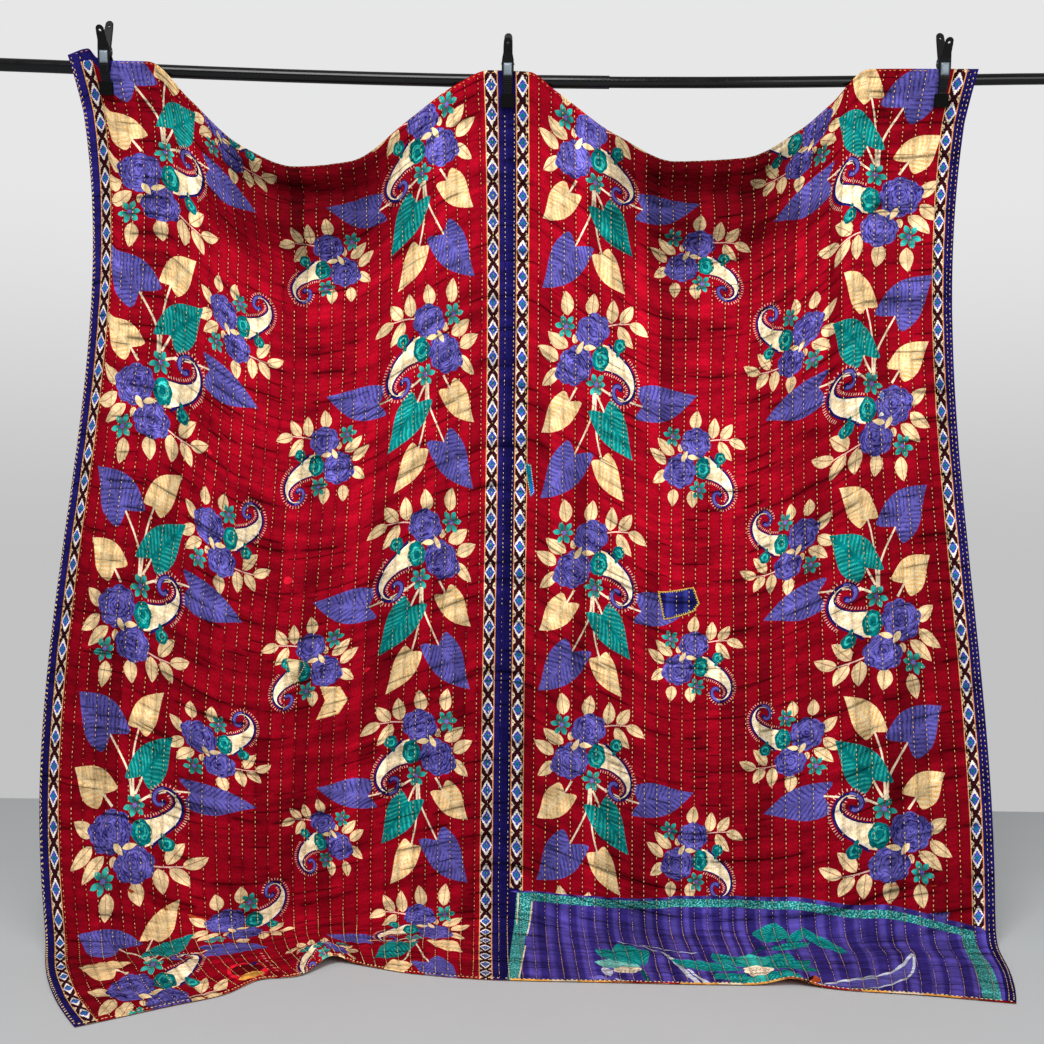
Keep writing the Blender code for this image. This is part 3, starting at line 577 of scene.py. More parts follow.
def cloth_chart(side):
    """One width's print, bottom layer first: sprays in four columns, then borders, then what was sewn or
    printed over them."""
    w, far = QUILT_WIDTH, QUILT_LENGTH + PRINT_MARGIN
    sprays = {True: spray_top(True), False: spray_leaves() + spray_top(False)}
    chart = []
    for across, down, turned, small in COLUMNS:
        for k in range(-1, 6):
            chart += placed(sprays[small], side, across, down + REPEAT * k,
                            SPRAY_UNIT * (SMALL_SPRAY if small else 1), turned)
    chart = [part for part in chart if part[0][:, 0].max() > SELVEDGE and part[0][:, 0].min() < w - BAND
             and (side < 0 or part[0][:, 1].min() < np.interp(part[0][:, 0].mean(), *PANEL_TOP.T) + 0.02)]
    inner = SELVEDGE + LINE
    outer = w - BAND - LINE
    strip_edge = outer - OUTER_WIDTH
    chart += [
        box_shape(-PRINT_MARGIN, SELVEDGE, -PRINT_MARGIN, far, "navy" if side < 0 else "navy_dark"),
        box_shape(SELVEDGE, inner, -PRINT_MARGIN, far, "edge_line"),
        box_shape(inner, inner + STRIP_WIDTH, -PRINT_MARGIN, far, "cream", kind=STRIP),
        box_shape(inner + STRIP_WIDTH, inner + STRIP_WIDTH + PEACH_LINE, -PRINT_MARGIN, far, "peach"),
        box_shape(w - BAND, w + PRINT_MARGIN, -PRINT_MARGIN, far, "navy"),
        box_shape(outer, w - BAND, -PRINT_MARGIN, far, "edge_line"),
        box_shape(strip_edge, outer, -PRINT_MARGIN, far, "cream", kind=OUTER_STRIP),
        box_shape(strip_edge - PEACH_LINE, strip_edge, -PRINT_MARGIN, far, "peach"),
    ]
    for at, across, down, size in ((-1, 0.795, 0.820, 0.007), (-1, 0.560, 1.065, 0.011),
                                   (-1, 0.350, 1.340, 0.007), (1, 0.979, 0.806, 0.005)):
        if side == at:
            chart.append(shape(scallop((across, down), 1.3 * size, size, 3, 0.35, across * 9, 12),
                               "red_bright" if at < 0 else "white"))
    if side < 0:
        chart += [shape(oval(*place), ink) for ink, *place in HEM_OPENING]
        chart.append(shape([(w - 0.125, -0.02), (w + 0.02, -0.02), (w + 0.02, 0.020), (w - 0.100, 0.028)],
                           "navy"))
    else:
        chart += end_panel()
    return chart


# A worn opening near the hem: its folded rim, the lining inside and the layers that show in it.
# Each is an oval: ink, middle across and down, half width, half height, lean in degrees.
HEM_OPENING = (
    ("red_bright", 0.702, 2.388, 0.058, 0.074, -14),
    ("red_deep", 0.700, 2.380, 0.050, 0.042, 18),
    ("ochre", 0.708, 2.432, 0.046, 0.020, 14),
    ("navy", 0.668, 2.331, 0.022, 0.010, 42),
)
PANEL_TOP = np.array([(0, 1.97), (0.45, 1.84), (0.60, 1.84), (0.75, 1.86), (0.92, 1.93), (1.18, 2.04)])
# The lotus: its middle, how far out its petals begin, and how wide they are.
LOTUS_MIDDLE = (0.61, 2.36)
LOTUS_HOLLOW, LOTUS_WIDTH = 0.04, 0.082
# The lotus petals: degrees round from straight up, reach, ink.
LOTUS = (
    (-70, 0.22, "teal"), (-28, 0.20, "teal"), (24, 0.21, "teal"), (-2, 0.18, "teal_light"),
    (46, 0.18, "teal"),
    (74, 0.15, "teal"), (-125, 0.14, "teal"), (-160, 0.18, "teal"), (180, 0.18, "teal_light"),
    (154, 0.19, "teal"),
)
# Leaves of the bud, then the loose ones: base, tip, width, ink.
BUD = (
    ((0.33, 2.34), (0.22, 2.32), 0.075, "teal_pale"), ((0.33, 2.33), (0.23, 2.20), 0.080, "teal"),
    ((0.34, 2.33), (0.29, 2.13), 0.080, "teal"), ((0.33, 2.35), (0.26, 2.40), 0.062, "horn_cream"),
)
LEAVES = (
    ((0.66, 2.05), (0.69, 1.91), 0.086, "teal"), ((0.75, 1.93), (0.83, 2.17), 0.046, "teal"),
    ((0.71, 2.07), (0.75, 1.94), 0.036, "teal"), ((0.66, 2.14), (0.76, 2.04), 0.058, "teal"),
    ((0.25, 2.44), (0.24, 2.35), 0.026, "feather"), ((0.25, 2.46), (0.20, 2.44), 0.030, "violet_light"),
    ((0.26, 2.45), (0.30, 2.52), 0.026, "feather"),
)
# A crescent of cloth print beside the lotus, between its two edges.
CRESCENT_INNER = [(0.73, 2.49), (0.82, 2.38), (0.92, 2.32), (0.97, 2.19)]
CRESCENT_OUTER = [(0.97, 2.20), (0.96, 2.33), (0.90, 2.44), (0.80, 2.48)]
# Pale drawn lines: their places and first and last widths.
FEATHERS = (
    ([(0.29, 2.11), (0.36, 2.15), (0.42, 2.30), (0.46, 2.52)], (0.004, 0.015)),
    ([(0.35, 2.13), (0.42, 2.17), (0.49, 2.19)], (0.007, 0.003)),
    ([(0.44, 2.35), (0.49, 2.53)], (0.006, 0.014)),
    (CRESCENT_INNER, (0.010, 0.008)), (CRESCENT_OUTER, (0.006, 0.007)),
    ([(0.79, 2.42), (0.88, 2.36)], (0.003, 0.012)), ([(0.89, 2.50), (0.96, 2.50)], (0.008, 0.010)),
)


def lotus_petals():
    """Each petal's base and tip lie on one ray from the lotus's middle."""
    middle = np.array(LOTUS_MIDDLE)
    rays = [(np.array([math.sin(math.radians(turn)), -math.cos(math.radians(turn))]), reach, ink)
            for turn, reach, ink in LOTUS]
    return tuple((middle + LOTUS_HOLLOW * ray, middle + reach * ray, LOTUS_WIDTH, ink) for ray, reach,
                 ink in rays)


def end_panel():
    """The violet end panel of the right width: its field, a speckled teal band round it, a lotus, a bud,
    leaves and pale drawn lines."""
    w, far, band = QUILT_WIDTH, QUILT_LENGTH + PRINT_MARGIN, 0.021
    across = np.linspace(-PRINT_MARGIN, w + PRINT_MARGIN, 60)
    top = np.column_stack([across, np.interp(across, *PANEL_TOP.T)])
    top[:, 1] += 0.0022 * value_noise(across / 0.03, 0 * across, 21)
    above = top[(across > SELVEDGE) & (across < w - BAND)]
    outer = top[(across > 0.04) & (across < 1.13)]
    inner = top[(across > 0.08) & (across < 1.10)] + (0, band)
    made = [
        shape([(-PRINT_MARGIN, 1.95), (0.045, 1.95),
               (0.035, 2.13), (0.010, far), (-PRINT_MARGIN, far)], "navy_dark"),
        shape(np.concatenate([[(0.030, 2.13), (0.040, 1.96), (SELVEDGE, 1.96)],
                              above - np.column_stack([0 * above[:, 0], 0.003 + 0.010 * above[:, 0]]),
                              [(w - BAND, 2.02), (w - BAND, far), (0.010, far)]]), "panel", "panel_dark",
              STRIPES),
        shape(np.concatenate([[(0.040, 1.96)], outer,
                              [(1.13, 2.02), (1.14, 2.22), (1.15, far), (0.010, far), (0.030, 2.13)]]),
              "teal", "teal_pale", SPECKLE),
        shape(np.concatenate([[(0.080, 1.97)], inner,
                              [(1.10, 2.03), (1.10, 2.26), (1.11, far), (0.040, far), (0.060, 2.16)]]),
              "panel", "panel_dark", STRIPES),
        ribbon([(0.045, 1.96), (0.040, 2.06)], (0.004, 0.002), "strip_cream"),
        ribbon([(0.080, 1.97), (0.065, 2.13)], (0.004, 0.003), "strip_cream"),
        ribbon([(0.060, 2.22), (0.040, 2.47)], (0.004, 0.003), "strip_cream"),
        ribbon([(0.050, 2.475), (0.125, 2.485)], (0.012, 0.008), "teal"),
        shape(np.concatenate([smooth_line(CRESCENT_INNER), smooth_line(CRESCENT_OUTER)]),
              "violet", "panel", HEART, (0.80, 2.60), (0, -1)),
    ]
    made += [ribbon([(0.32, 2.33), (0.33, 2.39), (0.34, 2.52)], (0.012, 0.014), "teal_dark"),
             ribbon([(0.61, 2.18), (0.66, 2.08), (0.75, 2.05)], (0.010, 0.008), "teal_dark")]
    made += [ribbon(points, widths, "feather") for points, widths in FEATHERS]
    for base, tip, width, tone in lotus_petals() + BUD + LEAVES:
        made.append(leaf(base, tip, width, tone,
                         {"teal": "teal_light", "feather": "panel",
                          "violet_light": "panel"}.get(tone, "teal_dark"), kind=HEART, peak=1.05))
    made.append(shape(scallop((0.610, 2.355), 0.038, 0.052, 9, 0.12, 0, 28), "horn_cream"))
    made.append(shape(scallop((0.610, 2.355), 0.028, 0.038, 7, 0.12, 0, 22), "horn_cream", "navy", SPECKLE))
    turned_up = np.array([0.02, 0.11, 0.17, 0.25, 0.29, 0.41, 0.50, 0.56, 0.66, 0.75, 0.84, 0.90, 0.98,
                          1.06, 1.10, 1.18])
    for k, (start, end) in enumerate(zip(turned_up[:-1], turned_up[1:])):
        made.append(box_shape(start, end, QUILT_LENGTH - 0.0042, far,
                              ("ochre", "backing", "strip_cream", "red", "ochre")[k * 7 % 5]))
    return made + [shape([(0.74, 2.39), (0.75, 2.43), (0.72, 2.52), (0.70, 2.52)], "backing"),
                   shape([(0.735, 2.40), (0.69, 2.52), (0.705, 2.52), (0.73, 2.44)], "maroon")]


# ---- meshes --------------------------------------------------------------------------
UV_METRES = 2.6
UV_MARGIN = 0.01
BACK_SHIFT = 0.5


def new_piece(name, points, faces, finishes, smooth=True):
    mesh = bpy.data.meshes.new(name)
    mesh.from_pydata(np.asarray(points).tolist(), [], np.asarray(faces).tolist())
    mesh.update()
    if smooth:
        mesh.shade_smooth()
    for finish in finishes:
        mesh.materials.append(finish)
    made = bpy.data.objects.new(name, mesh)
    bpy.context.scene.collection.objects.link(made)
    return made


def put_attribute(mesh, name, kind, domain, values):
    layer = mesh.attributes.new(name, kind, domain)
    field = "color" if kind == "FLOAT_COLOR" else "vector"
    layer.data.foreach_set(field, np.ascontiguousarray(values, dtype=np.float32).ravel())


def divided(outline, step=0.0095):
    """The same loop with each side cut into equal parts no longer than a step."""
    after = np.roll(outline, -1, 0)
    count = np.ceil(np.linalg.norm(after - outline, axis=1) / step).astype(int).clip(1)
    part = np.arange(count.sum()) - np.repeat(np.cumsum(count) - count, count)
    return np.repeat(outline, count, 0) + part[:, None] * np.repeat((after - outline) / count[:, None],
                                                                    count, 0)


def triangulate(loose, outlines):
    """Constrained triangulation of loose points and outlines. Kept triangles lie in the first outline; each
    goes with the last outline that holds it."""
    turned = [(p[:, 0] * np.roll(p[:, 1], -1) - p[:, 1] * np.roll(p[:, 0], -1)).sum() for p in outlines]
    outlines = [p if way > 0 else p[::-1] for p, way in zip(outlines, turned)]
    points = [loose] + outlines
    starts = np.cumsum([0] + [len(p) for p in points])
    loops = [list(range(starts[i + 1], starts[i + 2])) for i in range(len(outlines))]
    flat = [Vector(p) for p in np.concatenate(points).tolist()]
    found = geometry.delaunay_2d_cdt(flat, [], loops, 0, 1e-6, True)
    places = np.array([tuple(v) for v in found[0]])
    triangles = np.array(found[2])
    lowest = np.array([min(held) if held else -1 for held in found[5]])
    top = np.array([max(held) if held else -1 for held in found[5]])
    kept = lowest == 0
    triangles, top = triangles[kept], top[kept]
    a, b, c = (places[triangles[:, k]] for k in range(3))
    turned = (b[:, 0] - a[:, 0]) * (c[:, 1] - a[:, 1]) - (b[:, 1] - a[:, 1]) * (c[:, 0] - a[:, 0])
    solid = np.abs(turned) > 1e-12
    triangles, top, turned = triangles[solid], top[solid], turned[solid]
    triangles[turned < 0] = triangles[turned < 0][:, ::-1]
    used, again = np.unique(triangles, return_inverse=True)
    return places[used], again.reshape(-1, 3), top


def round_the_edge(places):
    """Numbers of the points on the rectangle's edge, in order round it: along the top, down the outer side,
    back along the hem and up the seam."""
    u, v = places.T
    w, far = QUILT_WIDTH, QUILT_LENGTH
    near = 2e-5
    way = np.full(len(u), np.nan)
    way[u < near] = 2 * w + 2 * far - v[u < near]
    way[v > far - near] = 2 * w + far - u[v > far - near]
    way[u > w - near] = w + v[u > w - near]
    way[v < near] = u[v < near]
    edge = np.flatnonzero(~np.isnan(way))
    return edge[np.argsort(way[edge])]


def rectangle_loop(columns, rows):
    top = np.stack([columns, 0 * columns], -1)
    side = np.stack([0 * rows + columns[-1], rows], -1)
    hem = np.stack([columns[::-1], 0 * columns + rows[-1]], -1)
    seam = np.stack([0 * rows, rows[::-1]], -1)
    return np.concatenate([top[:-1], side[:-1], hem[:-1], seam[:-1]])


def inner_points(columns, rows, seed, shake):
    across, down = np.meshgrid(columns[1:-1], rows[1:-1])
    rng = np.random.default_rng(seed)
    points = np.stack([across.ravel(), down.ravel()], -1)
    return points + rng.uniform(-shake, shake, points.shape)


def make_cloth(name, side, cloth, inks, finishes):
    """One sari width as a closed sheet. Its front is cut along every outline of the print, so each triangle
    has one ink; its back is a coarser sheet with the same edge, and a rim joins them."""
    close = np.array([0.0, 0.0012, 0.0030, 0.0060])
    count = STITCH_ROWS * cloth.columns_per_channel
    columns = np.linspace(0, QUILT_WIDTH, count + 1)
    columns = np.unique(np.concatenate([columns, QUILT_WIDTH - close]))
    rows = np.linspace(0, QUILT_LENGTH, int(QUILT_LENGTH / cloth.row_spacing) + 1)
    rows = np.unique(np.concatenate([rows, close, QUILT_LENGTH - close]))
    chart = []
    for part in cloth_chart(side):
        low, high = part[0].min(0), part[0].max(0)
        if high[0] > 0 and low[0] < QUILT_WIDTH and high[1] > 0 and low[1] < QUILT_LENGTH:
            chart.append(part)
    edge_loop = rectangle_loop(columns, rows)
    places, triangles, top = triangulate(inner_points(columns, rows, 4, 0.0003),
                                         [edge_loop] + [divided(part[0]) for part in chart])
    places = np.clip(places, 0, (QUILT_WIDTH, QUILT_LENGTH))
    ring = round_the_edge(places)
    coarse_columns = np.linspace(0, QUILT_WIDTH, STITCH_ROWS * 2 + 1)
    coarse_rows = np.concatenate([np.linspace(0, 0.5, 62), np.linspace(0.5, QUILT_LENGTH, 105)[1:]])
    back_places, back_triangles, _ = triangulate(inner_points(coarse_columns, coarse_rows, 5, 0.0003),
                                                 [places[ring]])
    back_places = np.clip(back_places, 0, (QUILT_WIDTH, QUILT_LENGTH))
    back_ring = round_the_edge(back_places)
    if len(ring) != len(back_ring):
        raise RuntimeError("the two faces of the cloth have different edges")

    u, v = places.T
    s = side * u
    front = cloth_layer(s, v, 1, cloth.channel_depth)
    front_normal = layer_normals(s, v, 1, cloth.channel_depth)
    bu, bv = back_places.T
    bs = side * bu
    back = cloth_layer(bs, bv, -1, cloth.channel_depth)
    back_normal = layer_normals(bs, bv, -1, cloth.channel_depth)
    first = len(front)
    facing = triangles if side < 0 else triangles[:, ::-1]
    behind = (back_triangles if side > 0 else back_triangles[:, ::-1]) + first
    a, b = ring, np.roll(ring, -1)
    c, d = back_ring + first, np.roll(back_ring, -1) + first
    rim = np.concatenate([np.stack([a, b, d], -1), np.stack([a, d, c], -1)])
    if side < 0:
        rim = rim[:, ::-1]
    corners = np.concatenate([facing, behind, rim])
    made = new_piece(name, np.concatenate([front, back]), corners, finishes)
    mesh = made.data

    names = sorted({part[1] for part in chart} | {part[2] for part in chart}
                   | {"red", "red_dark", "backing", "backing_dark"})
    palette = np.array([(*inks[n], 1.0) for n in names])
    number = {n: i for i, n in enumerate(names)}
    ink = np.array([number["red"]] + [number[part[1]] for part in chart])
    line = np.array([number["red_dark"]] + [number[part[2]] for part in chart])
    kind = np.array([GROUND] + [part[3] for part in chart])
    origin = np.array([(0.0, 0.0)] + [tuple(part[4]) for part in chart])
    along = np.array([(1.0, 0.0)] + [tuple(part[5]) for part in chart])
    rest = len(behind) + len(rim)
    face_ink = np.concatenate([ink[top], np.full(rest, number["backing"])])
    face_line = np.concatenate([line[top], np.full(rest, number["backing_dark"])])
    low, beside = places[a, 1] > QUILT_LENGTH - 1e-4, (places[a, 0] > QUILT_WIDTH
                                                       - BAND) | (places[a, 0] < SELVEDGE)
    turned_up = np.select([value_noise(places[a, 0] / 0.021, 0 * low + side, 51) > share
                           for share in (0.35, 0.05, -0.45)],
                          [number["cream"], number["ochre"], number["backing"]], number["red"])
    rim_ink = np.where(low, turned_up, np.where(beside, number["navy"], number["red"]))
    face_ink[-len(rim):] = np.concatenate([rim_ink, rim_ink])
    corner_ink = np.repeat(palette[face_ink], 3, 0)
    corner_line = np.repeat(palette[face_line], 3, 0)
    flat = np.concatenate([np.column_stack([s, v, 0 * v]), np.column_stack([bs, bv, 1 + 0 * bv])])
    chart_place = np.zeros((len(corners), 3, 3))
    offset = places[triangles if side < 0 else triangles[:, ::-1]] - origin[top][:, None, :]
    way = along[top][:, None, :]
    chart_place[:len(facing), :, 0] = (offset * way).sum(-1)
    chart_place[:len(facing), :, 1] = offset[..., 1] * way[..., 0] - offset[..., 0] * way[..., 1]
    chart_place[:len(facing), :, 2] = kind[top][:, None]
    put_attribute(mesh, "ink", "FLOAT_COLOR", "CORNER", corner_ink)
    put_attribute(mesh, "line", "FLOAT_COLOR", "CORNER", corner_line)
    put_attribute(mesh, "chart", "FLOAT_VECTOR", "CORNER", chart_place)
    put_attribute(mesh, "flat", "FLOAT_VECTOR", "CORNER", flat[corners])

    spread = np.concatenate([places, back_places + (BACK_SHIFT * UV_METRES, 0)]) / UV_METRES
    uv = spread[corners]
    out = np.stack([np.where(places[:, 0] > QUILT_WIDTH - 1e-4, 1, 0) - (places[:, 0] < 1e-4),
                    np.where(places[:, 1] > QUILT_LENGTH - 1e-4, 1, 0) - (places[:, 1] < 1e-4)], -1)
    outer = (places + 0.0025 * out) / UV_METRES
    here, there = outer[ring], outer[np.roll(ring, -1)]
    inner_a, inner_b = spread[a], spread[b]
    rim_uv = np.concatenate([np.stack([inner_a, inner_b, there], 1), np.stack([inner_a, there, here], 1)])
    uv[-len(rim):] = rim_uv if side > 0 else rim_uv[:, ::-1]
    uv = uv + UV_MARGIN
    uv[..., 1] = 1 - uv[..., 1]
    mesh.uv_layers.new(name="OFBake").data.foreach_set("uv", uv.astype(np.float32).ravel())
    mesh.polygons.foreach_set("material_index",
                              np.repeat([0, 1, 0], [len(facing), len(behind), len(rim)]).astype(np.int32))
    mesh.normals_split_custom_set_from_vertices(np.concatenate([front_normal, back_normal]).tolist())
    mesh.update()
    return made


def stitch_bodies(place, along, out, length, width, height, rings):
    """Each stitch is a spindle: two tips sunk in the cloth and one or two three-cornered rings, high in the
    middle. Returns points and triangles for all of them together."""
    aside = np.cross(along, out)
    count = len(place)
    corners = [(1, -0.1), (0, 1.0), (-1, -0.1)]
    stations = [-0.30, 0.30] if rings == 2 else [0.0]
    template = [(-0.5, 0.0, -0.45)] + [(t, c[0] / 2, c[1]) for t in stations
                                       for c in corners] + [(0.5, 0.0, -0.45)]
    points = np.stack([
        place + (t * length)[:, None] * along + (x * width)[:, None] * aside + (h * height)[:, None] * out
        for t, x, h in template], 1)
    ring = np.array([0, 1, 2])
    after = np.roll(ring, -1)
    last = len(template) - 1
    faces = [np.stack([0 * ring, 1 + ring, 1 + after], -1)]
    if rings == 2:
        faces += [np.stack([1 + ring, 4 + ring, 4 + after], -1),
                  np.stack([1 + ring, 4 + after, 1 + after], -1)]
    faces.append(np.stack([last + 0 * ring, last - 3 + after, last - 3 + ring], -1))
    faces = np.concatenate(faces)
    triangles = (np.arange(count) * len(template))[:, None, None] + faces
    return points.reshape(-1, 3), triangles.reshape(-1, 3)


# Threads finer than the rest.
FINER = {"thread_pale": 0.75, "ochre": 0.8}


def stitch_piece(name, groups, thread, inks, finish):
    """Joins groups of stitches into one mesh. A group is places on the flat cloth, the way each stitch
    runs, its length, the side of the cloth it shows on, its ink, its number of rings and its height over
    the cloth."""
    all_points, all_faces, all_inks, first = [], [], [], 0
    rng = np.random.default_rng(17)
    for s, v, way, length, off, ink, rings, over in groups:
        s, v = np.asarray(s, float), np.asarray(v, float)
        ds, dv = (np.broadcast_to(np.asarray(w, float), s.shape) for w in way)
        shelter = quilt_surface(s, v)[1]
        kept = (shelter > 0.12) & (rng.random(len(s)) > 0.015)
        s, v, ds, dv = s[kept], v[kept], ds[kept], dv[kept]
        length = np.broadcast_to(length, kept.shape)[kept]
        depth = thread.channel_depth
        place = cloth_layer(s, v, off, depth)
        out = layer_normals(s, v, off, depth)
        place = place + over * out
        step = 0.0015
        along = cloth_layer(s + ds * step, v + dv * step, off,
                            depth) - cloth_layer(s - ds * step, v - dv * step, off, depth)
        along = along / np.linalg.norm(along, axis=1, keepdims=True)
        thick = thread.thread_width * rng.uniform(0.85, 1.15, len(s)) * FINER.get(ink, 1.0)
        points, faces = stitch_bodies(place, along, out, length, thick, 0.42 * thick, rings)
        # Painted shade: stitches under the swags are darker and more orange; the rest of the shake is
        # random tone.
        painted_swag_shade = np.clip(1 - ((np.abs(s) - 0.53) / 0.34) ** 2, 0, 1) * np.clip((0.30 - v) / 0.22, 0, 1)
        shade = rng.uniform(0.82, 1.15, len(s)) * (1 - 0.50 * painted_swag_shade)
        warm = np.clip(0.5 + 0.6 * value_noise(s / 0.07, v / 0.16, 27) + 0.5 * painted_swag_shade, 0,
                       1) * rng.uniform(0.2, 1, len(s))
        base = np.array(inks[ink])
        colour = base * shade[:, None] * (1 - warm[:, None] * np.array([0.0, 0.34, 0.58]))
        per = len(points) // max(len(s), 1)
        all_points.append(points)
        all_faces.append(faces + first)
        all_inks.append(np.repeat(np.column_stack([colour, np.ones(len(s))]), per, 0))
        first += len(points)
    made = new_piece(name, np.concatenate(all_points), np.concatenate(all_faces), [finish])
    made.data.attributes.new("ink", "FLOAT_COLOR", "POINT").data.foreach_set(
        "color", np.concatenate(all_inks).astype(np.float32).ravel())
    return made


def row_stitches(side, across, start, end, pitch, length, rng, shift=0.0):
    """Places of one row that runs down: an even pitch with a little shake, on a line that wanders."""
    count = int((end - start) / pitch)
    v = start + (np.arange(count) + 0.5 + shift) * pitch + rng.uniform(-0.1, 0.1, count) * pitch
    wander = 0.0011 * value_noise(v / 0.13, 0 * v + across * 311, 19)
    u = np.clip(across + wander + rng.uniform(-0.0003, 0.0003, count), 0.004, QUILT_WIDTH - 0.003)
    return side * u, np.clip(v, 0.003, QUILT_LENGTH - 0.004), length * rng.uniform(0.85, 1.2, count)


def cross_stitches(side, down, pitch, length, rng):
    """Places of one row that runs across, with the same shake."""
    count = int((QUILT_WIDTH - 0.01) / pitch)
    u = 0.005 + (np.arange(count) + 0.5) * pitch + rng.uniform(-0.1, 0.1, count) * pitch
    v = down + 0.0008 * value_noise(u / 0.09, 0 * u + down, 23) + rng.uniform(-0.0003, 0.0003, count)
    return side * u, v, length * rng.uniform(0.85, 1.2, count)


# Small stitches that close a tear beside the worn opening.
MENDING_ACROSS = 0.627
MENDING_DOWN = 2.24 + 0.026 * np.arange(8)


def make_running_stitches(name, side, thread, inks, finish):
    rng = np.random.default_rng(29 if side < 0 else 31)
    spacing = QUILT_WIDTH / STITCH_ROWS
    pitch = thread.stitch_pitch
    groups = []
    for row in range(STITCH_ROWS + (side < 0)):
        start = rng.uniform(0, 0.6)
        at = ROW_START[side] + row * spacing
        s, v, length = row_stitches(side, at, 0.006, QUILT_LENGTH - 0.004, pitch, thread.stitch_length, rng,
                                    start)
        panel = (side > 0) & (v > np.interp(np.abs(s), *PANEL_TOP.T))
        navy = (np.abs(s) < SELVEDGE) | (np.abs(s) > QUILT_WIDTH - BAND)
        for chosen, ink in ((~panel & ~navy, "thread"), (panel & ~navy, "thread_pale"),
                            (navy, "thread_gold")):
            if chosen.any():
                groups.append((s[chosen], v[chosen], (0, 1), length[chosen], 1, ink, 2, 0.0))
        s, v, length = row_stitches(side, at, 0.006, QUILT_LENGTH - 0.004, pitch,
                                    thread.stitch_length * 0.8, rng, start + 0.5)
        groups.append((s, v, (0, 1), length, -1, "thread", 1, 0.0))
    close = thread.edge_pitch
    s, v, length = row_stitches(side, QUILT_WIDTH - 0.0060, 0.004, QUILT_LENGTH - 0.004, 1.4 * close,
                                0.6 * close, rng)
    groups.append((s, v, (0, 1), length, 1, "thread_gold", 2, 0.0))
    for down, pitch, ink in ((0.0045, 1.35 * close, "ochre"),
                             (QUILT_LENGTH - 0.0055, 1.25 * close, "thread_gold")):
        s, v, length = cross_stitches(side, down, pitch, pitch * 0.50, rng)
        groups.append((s, v, (1, 0), length, 1, ink, 2, 0.0))
    if side < 0:
        u, v = np.full(len(MENDING_DOWN), MENDING_ACROSS), MENDING_DOWN
        groups.append((-u, v, (0.8, 0.6), np.full(len(u), 0.009), 1, "thread_pink", 2, 0.0))
    return stitch_piece(name, groups, thread, inks, finish)



# ---- materials -----------------------------------------------------------------------
def linear(red, green, blue):
    """A screen colour from 0 to 255 as the light it stands for: the sRGB power curve."""
    return tuple(((c / 255 + 0.055) / 1.055) ** 2.4 if c > 10 else c / 3294.6 for c in (red, green, blue))


def add(tree, kind, *values, out=0, **settings):
    """One node with its settings; values go to its sockets in order, and a socket among them is linked."""
    made = tree.nodes.new("ShaderNode" + kind)
    for key, value in settings.items():
        setattr(made, key, value)
    for index, value in enumerate(values):
        if isinstance(value, bpy.types.NodeSocket):
            tree.links.new(value, made.inputs[index])
        elif value is not None:
            made.inputs[index].default_value = value
    return made.outputs[out]


def maths(tree, operation, *values):
    return add(tree, "Math", *values, operation=operation)


def blend(tree, share, first, second, way="MIX"):
    made = tree.nodes.new("ShaderNodeMix")
    made.data_type = "RGBA"
    made.blend_type = way
    made.clamp_factor = True
    for index, value in ((0, share), (6, first), (7, second)):
        if isinstance(value, bpy.types.NodeSocket):
            tree.links.new(value, made.inputs[index])
        else:
            made.inputs[index].default_value = value
    return made.outputs[2]


def ramp(tree, value, low, high):
    """0 below low, 1 above high, a smooth step between; low may be the larger."""
    made = tree.nodes.new("ShaderNodeMapRange")
    made.interpolation_type = "SMOOTHSTEP"
    tree.links.new(value, made.inputs[0])
    made.inputs[1].default_value, made.inputs[2].default_value = min(low, high), max(low, high)
    made.inputs[3].default_value, made.inputs[4].default_value = (0, 1) if low < high else (1, 0)
    return made.outputs[0]


def triangle_wave(tree, value):
    """1 at whole numbers and 0 half way between them."""
    part = maths(tree, "FRACT", value)
    return maths(tree, "ABSOLUTE", maths(tree, "MULTIPLY_ADD", part, 2.0, -1.0))


def stretched(tree, vector, across, down, detail=2.0):
    """Noise with that many cells to the metre each way."""
    scaled = add(tree, "VectorMath", vector, (across, down, 1.0), operation="MULTIPLY")
    return add(tree, "TexNoise", scaled, None, 1.0, detail)


def new_material(name, roughness, **fixed):
    made = bpy.data.materials.new(name)
    made.use_nodes = True
    tree = made.node_tree
    shader = tree.nodes["Principled BSDF"]
    shader.inputs["Roughness"].default_value = roughness
    for key, value in fixed.items():
        shader.inputs[key.replace("_", " ")].default_value = value
    return made, tree, shader


